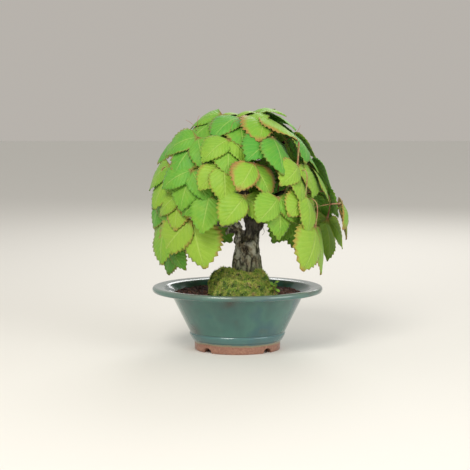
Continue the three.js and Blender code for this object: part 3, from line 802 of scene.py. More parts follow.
tree, sizes = new_tree("Moss shoots", {"Shoot length": 0.004, "Shoots per m2": 1000.0, "Seed": 1})
spots = add(
    tree,
    "GeometryNodeDistributePointsOnFaces",
    links={"Mesh": sizes["Geometry"], "Density": sizes["Shoots per m2"], "Seed": sizes["Seed"]},
)
tint_value = add(tree, "FunctionNodeRandomValue", {"data_type": "FLOAT"}, {2: 0.0, 3: 1.0, 8: 11}).outputs[1]
marked = add(
    tree,
    "GeometryNodeStoreNamedAttribute",
    {"data_type": "FLOAT", "domain": "POINT"},
    {"Geometry": spots.outputs[0], "Name": "tint", "Value": tint_value},
).outputs[0]
shoot = add(
    tree,
    "GeometryNodeMeshCone",
    {"fill_type": "NONE"},
    {"Vertices": 3, "Side Segments": 1, "Radius Top": 0.0, "Radius Bottom": 0.17, "Depth": 1.0},
).outputs["Mesh"]
up_shoot = add(tree, "ShaderNodeSeparateXYZ", links={0: add(tree, "GeometryNodeInputPosition").outputs[0]}).outputs["Z"]
shoot = add(
    tree,
    "GeometryNodeStoreNamedAttribute",
    {"data_type": "FLOAT", "domain": "POINT"},
    {"Geometry": shoot, "Name": "up_shoot", "Value": up_shoot},
).outputs[0]
fan = add(tree, "GeometryNodeMeshLine", {"mode": "OFFSET"}, {"Count": SHOOTS_IN_TUFT, "Offset": (0, 0, 0)}).outputs[0]
order = add(tree, "GeometryNodeInputIndex").outputs[0]
lean = add(
    tree,
    "ShaderNodeCombineXYZ",
    links={0: 0.62, 2: add(tree, "ShaderNodeMath", {"operation": "MULTIPLY"}, [order, 2 * math.pi / SHOOTS_IN_TUFT])},
).outputs[0]
tuft = add(
    tree, "GeometryNodeInstanceOnPoints", links={"Points": fan, "Instance": shoot, "Rotation": lean}
).outputs[0]
tuft = add(tree, "GeometryNodeRealizeInstances", links={0: tuft}).outputs[0]
spin = add(
    tree, "FunctionNodeRandomValue", {"data_type": "FLOAT_VECTOR"}, {0: (-0.5, -0.5, 0), 1: (0.5, 0.5, 6.3), 8: 7}
)
stand = add(
    tree,
    "FunctionNodeRotateRotation",
    {"rotation_space": "LOCAL"},
    {"Rotation": spots.outputs["Rotation"], "Rotate By": spin.outputs[0]},
).outputs[0]
reach = add(tree, "FunctionNodeRandomValue", {"data_type": "FLOAT"}, {2: 0.5, 3: 1.25, 8: 9}).outputs[1]
reach = add(tree, "ShaderNodeMath", {"operation": "MULTIPLY"}, [reach, sizes["Shoot length"]])
turf = add(
    tree,
    "GeometryNodeInstanceOnPoints",
    links={"Points": marked, "Instance": tuft, "Rotation": stand, "Scale": reach},
).outputs[0]
turf = add(tree, "GeometryNodeJoinGeometry", links={0: turf})
tree.links.new(sizes["Geometry"], turf.inputs[0])
grow(
    mound,
    tree,
    turf.outputs[0],
    cushion,
    {"Shoot length": SHOOT_LENGTH * MM, "Shoots per m2": SHOOTS_PER_M2 * 1.0, "Seed": 2},
)
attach(mound, "root")
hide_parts("moss")

# ---- Leaves ----
# Soft summer leaves of the vine, three toothed blades on one red stalk. They hang in rings like tiles on a roof.
# Each blade is a thin sheet, quilted between its veins, reddish at its joint and often scorched brown at the edge.

HEAD_WIDTH = 232
HEAD_DEPTH = 188
HEAD_HEIGHT = 244
BLADE_LENGTH = 57
BLADE_WIDTH = 45
BLADE_SPREAD = 46
PAIR_SPREAD = 30
BLADE_BULGE = 5
BLADE_FOLD = 2.4
BLADE_TUCK = 5.5
SIDE_BLADE = 0.87
PINWHEEL = 15
BLADE_THICKNESS = 0.4
GOLDEN_TURN = 2.399
STALK_STEPS = 18
LEAST_WRAP = 60
TEETH = 11
ROWS_PER_TOOTH = 4
COLUMNS = 9
TOOTH_DEPTH = 0.17
STALK_RADIUS = 1.0
soil_crown = soil_high.z / MM

# Rings of leaf joints: shares of the head's height and half width, shift along X, dip of the blades, size, and the
# leaves as (angle round the head, lift, step out, size, whether it has only a pair of blades).
rings = {
    "crown": (0.985, 0.27, -8, 30, 0.92, [(-152, 3), (-98, -1), (-38, 2), (22, 0), (84, 2), (146, 0)]),
    "upper": (
        0.875,
        0.65,
        -13,
        50,
        1,
        [(-136, 0), (-100, -2), (-54, 1), (-12, 2), (28, -3), (66, 0), (104, 0), (142, 1), (180, 2)],
    ),
    "middle": (
        0.72,
        0.86,
        -11,
        62,
        0.95,
        [
            (-162, -1, -2),
            (-129, -4, 1),
            (-103, 4),
            (-80, 6, 0, 1, True),
            (-42, 2, 2),
            (-12, -2, -2),
            (18, -1),
            (46, 2, 2),
            (78, -2),
            (110, 0, -2),
            (139, -2),
            (167, -4, -3),
        ],
    ),
    "lower": (
        0.575,
        0.96,
        -5,
        72,
        0.92,
        [
            (-168, 0),
            (-143, -2, -3),
            (-116, 0, -6),
            (-90, 0, 0, 1.15, True),
            (-67, -3),
            (-44, -2),
            (-12, -17, 23),
            (26, -4, -2),
            (52, -1, -4),
            (76, -2),
            (104, 2),
            (132, -2),
            (158, 0, -5),
        ],
    ),
    "skirt": (
        0.445,
        1,
        0,
        78,
        1.05,
        [
            (-134, -3, -8, 1.3, True),
            (-158, -9, 2, 1.05),
            (177, -14),
            (150, -10, 0, 1.05),
            (120, -16),
            (-38, -13, -3, 1.35, True),
            (10, -10, -4, 1.05),
            (49, -9, -10, 1),
            (-162, -38, -10, 0.8),
        ],
    ),
}

# How yellow a leaf is, from 0 for the cool green of old leaves to 1, and how scorched, from 0 to 1.
ages = {
    "upper_03": (0.05, 0.1), "upper_04": (0.1, 0.25), "middle_04": (0.75, 0.9), "middle_05": (0.85, 0.35),
    "lower_02": (0.9, 0.5), "lower_04": (0.95, 0.15), "skirt_01": (0.95, 0.45), "skirt_06": (0.9, 0.4),
    "lower_07": (0.6, 0.85), "lower_06": (0.9, 0.45), "crown_03": (0.7, 0.7), "skirt_04": (0.2, 0.2),
}

# Leaves that hang turned or have grown larger than their ring's: (turn in degrees, size, extra spread in degrees).
habits = {
    "lower_04": (-2, 1, 14), "middle_06": (0, 1.18), "middle_07": (0, 1.12), "lower_08": (0, 1.18),
    "lower_09": (0, 1.1), "upper_03": (-4, 1.08), "upper_04": (0, 1.12), "crown_02": (0, 1.15), "crown_03": (6, 1.2),
    "crown_01": (0, 1.12), "crown_04": (0, 1.15), "middle_01": (0, 1.1), "lower_01": (0, 1.08), "upper_01": (0, 1.08),
}

# Leaves whose stalks arch up and come down over the leaves, and how far out their curve is pulled.
over_others = {
    "skirt_01": 30, "skirt_02": 24, "skirt_06": 14, "lower_01": 12, "lower_02": 14, "lower_06": 12, "middle_05": 10,
    "skirt_07": 14, "lower_10": 12, "skirt_04": 14,
}


def scatter(i, salt):
    return 2 * ((i * 0.618034 + salt * 0.37) % 1) - 1


def turned(vector, axis, angle):
    return Quaternion(axis, angle) @ vector


# A thin soft leaf: a faint sheen on mottled green, with paler veins, a reddish joint and scorched edges.
leaf_look, tree, shader = finish_material("Vine leaf", Roughness=0.55, Specular_IOR_Level=0.35, Sheen_Weight=0.1)
where = add(tree, "ShaderNodeTexCoord").outputs["Object"]
grid = add(tree, "ShaderNodeAttribute", {"attribute_name": "blade_uv"}).outputs["Vector"]
along = add(tree, "ShaderNodeSeparateXYZ", links={0: grid}).outputs[0]
across = add(tree, "ShaderNodeSeparateXYZ", links={0: grid}).outputs[1]
yellow = add(tree, "ShaderNodeAttribute", {"attribute_name": "yellow"}).outputs["Fac"]
scorch = add(tree, "ShaderNodeAttribute", {"attribute_name": "scorch"}).outputs["Fac"]
stalk_mask = add(tree, "ShaderNodeAttribute", {"attribute_name": "stalk"}).outputs["Fac"]
side = add(tree, "ShaderNodeMath", {"operation": "ABSOLUTE"}, [across])
mottle = add(tree, "ShaderNodeTexNoise", links={"Vector": where, "Scale": 95, "Detail": 3}).outputs["Fac"]
fine = add(tree, "ShaderNodeTexNoise", links={"Vector": where, "Scale": 620, "Detail": 2}).outputs["Fac"]
leaf_green = add(
    tree,
    "ShaderNodeValToRGB",
    {"color_ramp": [(0.0, srgb("#4E9A2C")), (0.3, srgb("#65A32B")), (0.6, srgb("#7DAA2C")), (1.0, srgb("#93B433"))]},
    [
        add(
            tree,
            "ShaderNodeMath",
            {"operation": "ADD"},
            [
                yellow,
                add(
                    tree,
                    "ShaderNodeMath",
                    {"operation": "MULTIPLY"},
                    [add(tree, "ShaderNodeMath", {"operation": "SUBTRACT"}, [mottle, 0.5]), 0.7],
                ),
            ],
        ),
    ],
)
leaf_green = add(
    tree,
    "ShaderNodeMix",
    {"data_type": "RGBA"},
    {0: add(tree, "ShaderNodeMath", {"operation": "MULTIPLY"}, [fine, 0.28]), 6: leaf_green, 7: srgb("#4F8F2C")},
).outputs[2]
# Side veins leave the midrib every tenth of the blade and bend towards its tip.
lifted = add(
    tree,
    "ShaderNodeMath",
    {"operation": "SUBTRACT"},
    [
        along,
        add(
            tree,
            "ShaderNodeMath",
            {"operation": "MULTIPLY"},
            [add(tree, "ShaderNodeMath", {"operation": "POWER"}, [side, 0.8]), 0.3],
        ),
    ],
)
phase = add(
    tree,
    "ShaderNodeMath",
    {"operation": "FRACT"},
    [add(tree, "ShaderNodeMath", {"operation": "MULTIPLY"}, [lifted, 9.0])],
)
ridge = add(
    tree,
    "ShaderNodeMath",
    {"operation": "ABSOLUTE"},
    [add(tree, "ShaderNodeMath", {"operation": "SUBTRACT"}, [phase, 0.5])],
)
vein = add(tree, "ShaderNodeMapRange", links={0: ridge, 1: 0.42, 2: 0.5, 3: 0.0, 4: 1.0}).outputs[0]
midrib = add(tree, "ShaderNodeMapRange", links={0: side, 1: 0.06, 2: 0.015, 3: 0.0, 4: 1.0}).outputs[0]
veins = add(
    tree,
    "ShaderNodeMath",
    {"operation": "MAXIMUM"},
    [add(tree, "ShaderNodeMath", {"operation": "MULTIPLY"}, [vein, 0.45]), midrib],
)
leaf_green = add(
    tree,
    "ShaderNodeMix",
    {"data_type": "RGBA"},
    {0: add(tree, "ShaderNodeMath", {"operation": "MULTIPLY"}, [veins, 0.34]), 6: leaf_green, 7: srgb("#BFD46E")},
).outputs[2]
rim = add(tree, "ShaderNodeMapRange", links={0: side, 1: 0.62, 2: 1.0}).outputs[0]
tip = add(tree, "ShaderNodeMapRange", links={0: along, 1: 0.8, 2: 1.0}).outputs[0]
burnt = add(
    tree,
    "ShaderNodeMath",
    {"operation": "ADD"},
    [
        add(tree, "ShaderNodeMath", {"operation": "MAXIMUM"}, [rim, tip]),
        add(tree, "ShaderNodeMath", {"operation": "MULTIPLY"}, [mottle, 0.9]),
    ],
)
burnt = add(tree, "ShaderNodeMath", {"operation": "MULTIPLY_ADD"}, [scorch, 0.8, burnt])
burnt = add(tree, "ShaderNodeMapRange", links={0: burnt, 1: 1.3, 2: 1.9}).outputs[0]
leaf_green = add(
    tree,
    "ShaderNodeMix",
    {"data_type": "RGBA"},
    {0: add(tree, "ShaderNodeMath", {"operation": "MULTIPLY"}, [burnt, 0.75]), 6: leaf_green, 7: srgb("#A8693E")},
).outputs[2]
blush = add(tree, "ShaderNodeMapRange", links={0: along, 1: 0.12, 2: 0.0}).outputs[0]
leaf_green = add(
    tree,
    "ShaderNodeMix",
    {"data_type": "RGBA"},
    {0: add(tree, "ShaderNodeMath", {"operation": "MULTIPLY"}, [blush, 0.8]), 6: leaf_green, 7: srgb("#9A4A3A")},
).outputs[2]
stalk_red = add(
    tree,
    "ShaderNodeValToRGB",
    {"color_ramp": [(0.32, srgb("#8A4B3C")), (0.5, srgb("#A9815A")), (0.64, srgb("#93A055"))]},
    [mottle],
)
feed(
    tree,
    shader,
    {
        "Base Color": add(
            tree, "ShaderNodeMix", {"data_type": "RGBA"}, {0: stalk_mask, 6: leaf_green, 7: stalk_red}
        ).outputs[2],
    },
)
quilt = add(
    tree,
    "ShaderNodeMath",
    {"operation": "SUBTRACT"},
    [
        add(tree, "ShaderNodeMath", {"operation": "MULTIPLY"}, [ridge, -2.0]),
        add(tree, "ShaderNodeMath", {"operation": "MULTIPLY"}, [midrib, 1.5]),
    ],
)
relief = add(tree, "ShaderNodeBump", links={"Strength": 0.5, "Distance": 0.0007, "Height": quilt})
feed(tree, shader, {"Normal": relief.outputs[0]})


tree, sizes = new_tree(
    "Hanging leaf",
    {"Teeth": TEETH, "Tooth depth": 0.1, "Bulge": 0.004, "Fold": 0.002, "Tuck": 0.005, "Blade thickness": 0.0004},
)
on_blade = add(
    tree,
    "GeometryNodeSeparateGeometry",
    {"domain": "POINT"},
    {
        "Geometry": sizes["Geometry"],
        "Selection": add(tree, "GeometryNodeInputNamedAttribute", {"data_type": "BOOLEAN"}, ["is_blade"]),
    },
).outputs
sheet = add(
    tree,
    "GeometryNodeMeshGrid",
    links={"Size X": 1.0, "Size Y": 2.0, "Vertices X": TEETH * ROWS_PER_TOOTH + 1, "Vertices Y": COLUMNS},
).outputs["Mesh"]
grid_place = add(tree, "GeometryNodeInputPosition").outputs[0]
grid_uv = add(tree, "ShaderNodeVectorMath", {"operation": "ADD"}, {0: grid_place, 1: (0.5, 0, 0)}).outputs[0]
sheet = add(
    tree,
    "GeometryNodeStoreNamedAttribute",
    {"data_type": "FLOAT_VECTOR", "domain": "POINT"},
    {"Geometry": sheet, "Name": "blade_uv", "Value": grid_uv},
).outputs[0]
blades = add(tree, "GeometryNodeInstanceOnPoints", links={"Points": on_blade[0], "Instance": sheet}).outputs[0]
blades = add(tree, "GeometryNodeRealizeInstances", links={0: blades}).outputs[0]

uv = add(
    tree,
    "ShaderNodeSeparateXYZ",
    links={0: add(tree, "GeometryNodeInputNamedAttribute", {"data_type": "FLOAT_VECTOR"}, ["blade_uv"])},
).outputs
t, w = uv[0], uv[1]
outline = add(tree, "ShaderNodeFloatCurve", links={"Value": t})
points = outline.mapping.curves[0].points
shape = [(0, 0.03), (0.07, 0.34), (0.18, 0.78), (0.36, 1), (0.58, 0.92), (0.78, 0.62), (0.92, 0.25), (1, 0.0)]
for place, value in shape[1:-1]:
    points.new(place, value)
points[0].location = shape[0]
points[-1].location = shape[-1]
outline.mapping.update()
half_share = outline.outputs[0]
edge_side = add(tree, "ShaderNodeMath", {"operation": "ABSOLUTE"}, [w])
saw = add(
    tree,
    "ShaderNodeMath",
    {"operation": "FRACT"},
    [
        add(
            tree,
            "ShaderNodeMath",
            {"operation": "MULTIPLY"},
            [add(tree, "ShaderNodeMath", {"operation": "ADD"}, [t, 0.002]), sizes["Teeth"]],
        ),
    ],
)
tooth = add(
    tree,
    "ShaderNodeMath",
    {"operation": "MULTIPLY"},
    [
        add(tree, "ShaderNodeMath", {"operation": "SUBTRACT"}, [saw, 0.35]),
        add(tree, "ShaderNodeMath", {"operation": "POWER"}, [edge_side, 6.0]),
    ],
)
bottom_free = add(tree, "ShaderNodeMapRange", links={0: t, 1: 0.08, 2: 0.2}).outputs[0]
tooth = add(
    tree,
    "ShaderNodeMath",
    {"operation": "MULTIPLY"},
    [add(tree, "ShaderNodeMath", {"operation": "MULTIPLY"}, [tooth, sizes["Tooth depth"]]), bottom_free],
)
lopsided = add(
    tree,
    "ShaderNodeMath",
    {"operation": "MULTIPLY_ADD"},
    [w, add(tree, "GeometryNodeInputNamedAttribute", {"data_type": "FLOAT"}, ["skew"]), 1.0],
)
half = add(
    tree,
    "ShaderNodeMath",
    {"operation": "MULTIPLY"},
    [add(tree, "ShaderNodeMath", {"operation": "ADD"}, [half_share, tooth]), lopsided],
)
out_w = add(
    tree,
    "ShaderNodeMath",
    {"operation": "MULTIPLY"},
    [
        add(tree, "ShaderNodeMath", {"operation": "MULTIPLY"}, [half, w]),
        add(tree, "GeometryNodeInputNamedAttribute", {"data_type": "FLOAT"}, ["half_width"]),
    ],
)
out_t = add(
    tree,
    "ShaderNodeMath",
    {"operation": "MULTIPLY"},
    [
        add(tree, "ShaderNodeMath", {"operation": "MULTIPLY_ADD"}, [tooth, 0.12, t]),
        add(tree, "GeometryNodeInputNamedAttribute", {"data_type": "FLOAT"}, ["length"]),
    ],
)
flat = add(
    tree,
    "ShaderNodeVectorMath",
    {"operation": "SCALE"},
    {0: add(tree, "GeometryNodeInputNamedAttribute", {"data_type": "FLOAT_VECTOR"}, ["across"]), "Scale": out_w},
).outputs[0]
flat_t = add(
    tree,
    "ShaderNodeVectorMath",
    {"operation": "SCALE"},
    {0: add(tree, "GeometryNodeInputNamedAttribute", {"data_type": "FLOAT_VECTOR"}, ["along"]), "Scale": out_t},
).outputs[0]
flat = add(tree, "ShaderNodeVectorMath", {"operation": "ADD"}, {0: flat, 1: flat_t}).outputs[0]
off_axis = add(
    tree,
    "ShaderNodeVectorMath",
    {"operation": "DOT_PRODUCT"},
    {0: flat, 1: add(tree, "GeometryNodeInputNamedAttribute", {"data_type": "FLOAT_VECTOR"}, ["level"])},
)
off_axis = off_axis.outputs["Value"]
wrap_fall = add(
    tree,
    "ShaderNodeMath",
    {"operation": "DIVIDE"},
    [
        add(tree, "ShaderNodeMath", {"operation": "MULTIPLY"}, [off_axis, off_axis]),
        add(
            tree,
            "ShaderNodeMath",
            {"operation": "MULTIPLY"},
            [add(tree, "GeometryNodeInputNamedAttribute", {"data_type": "FLOAT"}, ["wrap"]), 2.0],
        ),
    ],
)
arch = add(
    tree,
    "ShaderNodeMath",
    {"operation": "MULTIPLY"},
    [
        add(
            tree,
            "ShaderNodeMath",
            {"operation": "MULTIPLY"},
            [t, add(tree, "ShaderNodeMath", {"operation": "SUBTRACT"}, [1.0, t])],
        ),
        4.0,
    ],
)
bulge = add(tree, "ShaderNodeMath", {"operation": "MULTIPLY"}, [arch, sizes["Bulge"]])
crease = add(
    tree,
    "ShaderNodeMath",
    {"operation": "MULTIPLY"},
    [add(tree, "ShaderNodeMath", {"operation": "MULTIPLY"}, [edge_side, half_share]), sizes["Fold"]],
)
ripple_seed = add(
    tree,
    "ShaderNodeTexNoise",
    {"noise_dimensions": "4D"},
    {
        "Vector": add(tree, "GeometryNodeInputNamedAttribute", {"data_type": "FLOAT_VECTOR"}, ["blade_uv"]),
        "W": add(tree, "GeometryNodeInputNamedAttribute", {"data_type": "FLOAT"}, ["seed"]),
        "Scale": 2.4,
        "Detail": 1,
    },
).outputs["Fac"]
flutter = add(
    tree,
    "ShaderNodeMath",
    {"operation": "MULTIPLY"},
    [
        add(tree, "ShaderNodeMath", {"operation": "SUBTRACT"}, [ripple_seed, 0.5]),
        add(tree, "ShaderNodeMath", {"operation": "MULTIPLY"}, [edge_side, 0.009]),
    ],
)
curl = add(
    tree,
    "ShaderNodeMath",
    {"operation": "MULTIPLY"},
    [
        add(tree, "ShaderNodeMath", {"operation": "POWER"}, [t, 2.5]),
        add(tree, "GeometryNodeInputNamedAttribute", {"data_type": "FLOAT"}, ["curl"]),
    ],
)
neck = add(tree, "ShaderNodeMapRange", links={0: t, 1: 0.0, 2: 0.12}).outputs[0]
tuck = add(
    tree,
    "ShaderNodeMath",
    {"operation": "MULTIPLY"},
    [
        add(
            tree,
            "ShaderNodeMath",
            {"operation": "MULTIPLY"},
            [add(tree, "GeometryNodeInputNamedAttribute", {"data_type": "FLOAT"}, ["behind"]), sizes["Tuck"]],
        ),
        neck,
    ],
)
raised = add(
    tree,
    "ShaderNodeMath",
    {"operation": "SUBTRACT"},
    [
        add(tree, "ShaderNodeMath", {"operation": "ADD"}, [bulge, flutter]),
        add(tree, "ShaderNodeMath", {"operation": "ADD"}, [crease, wrap_fall]),
    ],
)
raised = add(
    tree,
    "ShaderNodeMath",
    {"operation": "SUBTRACT"},
    [raised, add(tree, "ShaderNodeMath", {"operation": "ADD"}, [curl, tuck])],
)
lift = add(
    tree,
    "ShaderNodeVectorMath",
    {"operation": "SCALE"},
    {0: add(tree, "GeometryNodeInputNamedAttribute", {"data_type": "FLOAT_VECTOR"}, ["out"]), "Scale": raised},
).outputs[0]
spot = add(tree, "ShaderNodeVectorMath", {"operation": "ADD"}, {0: flat, 1: lift}).outputs[0]
spot = add(
    tree,
    "ShaderNodeVectorMath",
    {"operation": "ADD"},
    {0: spot, 1: add(tree, "GeometryNodeInputNamedAttribute", {"data_type": "FLOAT_VECTOR"}, ["joint"])},
).outputs[0]
blades = add(tree, "GeometryNodeSetPosition", links={"Geometry": blades, "Position": spot}).outputs[0]
backs = add(tree, "GeometryNodeFlipFaces", links={0: blades}).outputs[0]
fronts = add(
    tree,
    "GeometryNodeExtrudeMesh",
    {"mode": "FACES"},
    {"Mesh": blades, "Offset Scale": sizes["Blade thickness"], "Individual": False},
).outputs[0]
both = add(tree, "GeometryNodeJoinGeometry", links={0: backs})
tree.links.new(fronts, both.inputs[0])
closed = add(tree, "GeometryNodeMergeByDistance", links={"Geometry": both.outputs[0], "Distance": 0.00002}).outputs[0]

line = add(tree, "GeometryNodeMeshToCurve", links={"Mesh": on_blade[1]}).outputs[0]
rod = add(tree, "GeometryNodeCurvePrimitiveCircle", links={"Resolution": 7, "Radius": 1.0}).outputs["Curve"]
tube = add(
    tree,
    "GeometryNodeCurveToMesh",
    links={
        "Curve": line,
        "Profile Curve": rod,
        "Scale": add(tree, "GeometryNodeInputNamedAttribute", {"data_type": "FLOAT"}, ["girth"]),
        "Fill Caps": True,
    },
).outputs[0]
tube = add(
    tree,
    "GeometryNodeStoreNamedAttribute",
    {"data_type": "FLOAT", "domain": "POINT"},
    {"Geometry": tube, "Name": "stalk", "Value": 1.0},
).outputs[0]
whole = add(tree, "GeometryNodeJoinGeometry", links={0: closed})
tree.links.new(tube, whole.inputs[0])
smooth_all = add(tree, "GeometryNodeSetShadeSmooth", links={0: whole.outputs[0]}).outputs[0]
real = add(tree, "GeometryNodeRealizeInstances", links={0: smooth_all}).outputs[0]
dressed = add(tree, "GeometryNodeSetMaterial", links={"Geometry": real, "Material": leaf_look}).outputs[0]
add(tree, "NodeGroupOutput", links={0: dressed})
leaf_tree = tree
leaf_sizes = {
    "Tooth depth": TOOTH_DEPTH,
    "Bulge": BLADE_BULGE * MM,
    "Fold": BLADE_FOLD * MM,
    "Tuck": BLADE_TUCK * MM,
    "Blade thickness": BLADE_THICKNESS * MM,
}

wood_tree = BVHTree.FromPolygons(
    [v.co.copy() for v in tree_cad.data.vertices], [tuple(p.vertices) for p in tree_cad.data.polygons]
)


def stalk_line(node, joint, outward, bow):
    """Points of a leaf's stalk, from its bud to its joint, over the leaves if it bows."""
    corners = [v.co.copy() for v in node.data.vertices]
    foot = min(corners, key=lambda corner: wood_tree.find_nearest(corner)[3])
    bud, _, _, _ = wood_tree.find_nearest(foot)
    span = joint - foot
    up = Vector((0, 0, 1))
    if bow:
        controls = [bud, joint * 0.94 + up * 0.06, joint + outward * bow * MM + up * 0.048, joint]
    else:
        rise = foot.lerp(joint, 0.55) + up * 0.08 * span.length
        controls = [bud, foot + (foot - bud).normalized() * 0.12 * span.length, rise, joint]
    line = []
    for i in range(STALK_STEPS + 1):
        f = i / STALK_STEPS
        a, b, c = (controls[k].lerp(controls[k + 1], f) for k in range(3))
        line.append(a.lerp(b, f).lerp(b.lerp(c, f), f))
    return line


def grow_leaf(piece_name, line, joint, blades, girth):
    """One piece from the points of its stalk and the numbers and directions of its blades, by the leaf tree."""
    mesh = bpy.data.meshes.new(piece_name)
    last = len(line) - 1
    mesh.from_pydata(line + [joint] * len(blades), [(i, i + 1) for i in range(last)], [])
    for key in blades[0]:
        values = [blade[key] for blade in blades]
        if isinstance(values[0], Vector):
            layer = mesh.attributes.new(key, "FLOAT_VECTOR", "POINT")
            layer.data.foreach_set("vector", [0.0] * 3 * len(line) + [c for v in values for c in v])
        else:
            layer = mesh.attributes.new(key, "FLOAT", "POINT")
            layer.data.foreach_set("value", [0.0] * len(line) + values)
    thick = [girth * MM * (1.5 - 0.9 * (i / last) ** 0.4 + 0.9 * (i / last) ** 12) for i in range(len(line))]
    layer = mesh.attributes.new("girth", "FLOAT", "POINT")
    layer.data.foreach_set("value", thick + [0.0] * len(blades))
    layer = mesh.attributes.new("is_blade", "BOOLEAN", "POINT")
    layer.data.foreach_set("value", [False] * len(line) + [True] * len(blades))
    piece = bpy.data.objects.new(piece_name, mesh)
    bpy.context.scene.collection.objects.link(piece)
    modifier = piece.modifiers.new("grow", "NODES")
    modifier.node_group = leaf_tree
    for item in leaf_tree.interface.items_tree:
        if item.in_out == "INPUT" and item.name in leaf_sizes:
            modifier[item.identifier] = leaf_sizes[item.name]
    settle(piece)
    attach(piece, "root")
    return piece


def hang_leaf(name, ring, entry, number):
    """One leaf of a ring: the place of its joint, how its blades lie, and its age."""
    height, reach, lean, dip, size = ring[:5]
    angle, lift, step, own, paired = entry + (0, 1, False)[len(entry) - 2 :]
    turn, growth, wider = (*habits.get(name, (0, 1)), 0)[:3]
    a = math.radians(angle)
    half_x = reach * HEAD_WIDTH / 2 + step
    half_y = reach * HEAD_DEPTH / 2 + step
    z = soil_crown + height * HEAD_HEIGHT + lift
    joint = Vector((lean + half_x * math.cos(a), half_y * math.sin(a), z)) * MM
    outward = Vector((math.cos(a) / half_x, math.sin(a) / half_y, 0)).normalized()
    level = Vector((0, 0, 1)).cross(outward)
    hang = math.radians(dip + 2 * scatter(number, 1))
    out, down = turned(Vector((0, 0, 1)), level, hang), turned(outward, level, hang)
    out, level = (turned(v, down, -math.radians(PINWHEEL)) for v in (out, level))
    twist = math.radians(12 * scatter(number, 2) + turn)
    down, level = (turned(v, out, twist) for v in (down, level))
    scale = size * own * growth * (1 + 0.07 * scatter(number, 3)) * MM
    behind = [1] if paired else [0] if number % 3 else [-1, 1]
    spread = math.radians((PAIR_SPREAD if paired else BLADE_SPREAD) + wider)
    yellow, scorch = ages.get(name, (0.5 + 0.38 * scatter(number, 5), 0.14 + 0.3 * scatter(number, 7)))
    blades = []
    for side in (-1, 1) if paired else (-1, 0, 1):
        share = SIDE_BLADE if side else 1
        salt = number * 3 + side
        blades.append(
            {
                "length": BLADE_LENGTH * scale * share,
                "half_width": BLADE_WIDTH / 2 * scale * share,
                "wrap": max(LEAST_WRAP, (half_x + half_y) / 2) * MM,
                "behind": float(side in behind),
                "skew": 0.2 * side,
                "seed": salt * 1.7,
                "curl": (3 + 5 * scatter(salt, 4)) * MM,
                "yellow": yellow + 0.12 * scatter(salt, 6),
                "scorch": scorch + 0.15 * scatter(salt, 8),
                "along": turned(down, out, spread * side),
                "across": turned(level, out, spread * side),
                "level": level,
                "out": out,
                "joint": joint,
            }
        )
    line = stalk_line(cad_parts["leaf_" + name], joint, outward, over_others.get(name, 0))
    leaf = grow_leaf("vine_leaf_" + name, line, joint, blades, STALK_RADIUS)
    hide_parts("leaf_" + name)


def spiral(joints, rises, length, width_share):
    """Blades set round a shoot as young leaves are, a golden turn apart, each at its joint and rise in degrees."""
    blades = []
    for i, (joint, rise) in enumerate(zip(joints, rises)):
        turn = Matrix.Rotation(i * GOLDEN_TURN, 3, "Z")
        up = math.radians(rise)
        along = turn @ Vector((math.cos(up), 0, math.sin(up)))
        out = turn @ Vector((-math.sin(up), 0, math.cos(up)))
        blades.append(
            {
                "length": length * (1 + 0.15 * scatter(i, 2)) * MM,
                "half_width": width_share * length / 2 * MM,
                "wrap": 3 * length * MM,
                "behind": 0.0,
                "skew": 0.0,
                "seed": i * 2.3,
                "curl": 0.17 * length * MM,
                "yellow": 0.6 + 0.2 * scatter(i, 4),
                "scorch": 0.1,
                "along": along,
                "across": out.cross(along),
                "level": out.cross(along),
                "out": out,
                "joint": joint,
            }
        )
    return blades


number = 0
for ring_name, ring in rings.items():
    for i, entry in enumerate(ring[5]):
        number += 1
        hang_leaf(f"{ring_name}_{i + 1:02d}", ring, entry, number)

# This year's shoots stand out of the middle of the crown and close it.
for name, place, tall, rises in (
    ("young_shoot_front", (12, -4, 326), 46, [4, -8, -14, 10, -4]),
    ("young_shoot_back", (-10, 18, 321), 40, [-6, 2, -12, -4, 6]),
    ("young_shoot_left", (-26, -2, 318), 36, [0, 8, -10, -4, -12]),
):
    top = Vector(place) * MM
    shoot_line = [top - Vector((0, 0, tall * (8 - i) / 8)) * MM for i in range(9)]
    young = grow_leaf(name, shoot_line, top, spiral([top] * 5, rises, 37, 0.8), STALK_RADIUS)

# ---- Seedling ----
# A weed seedling beside the moss: a soft stem with a rosette of small toothed leaves, grown like the vine's leaves.

SEEDLING_BLADE = 9
SEEDLING_STEM = 0.7
seed_low, seed_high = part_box("seedling")
foot = Vector(((seed_low.x + seed_high.x) / 2, (seed_low.y + seed_high.y) / 2, seed_low.z))
top = foot + Vector((0.001, -0.001, seed_high.z - seed_low.z - 0.003))
stem = [foot.lerp(top, i / 8) + Vector((0.0012 * math.sin(i * 0.6), 0, 0)) for i in range(9)]
rosette = spiral([stem[8 - i // 2] for i in range(7)], [55 - 13 * i for i in range(7)], SEEDLING_BLADE, 0.72)
leaf_sizes.update({"Bulge": 0.8 * MM, "Fold": 0.6 * MM, "Tuck": 0.0, "Blade thickness": 0.25 * MM})
seedling = grow_leaf("weed_seedling", stem, top, rosette, SEEDLING_STEM)
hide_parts("seedling")

# ---- Tendrils and twigs ----
# Wiry climbing tendrils curl below the right limb, and a few bare twigs with this year's red tips stand out of the
# crown. Dry and brown where old.

TENDRIL_RADIUS = 0.45
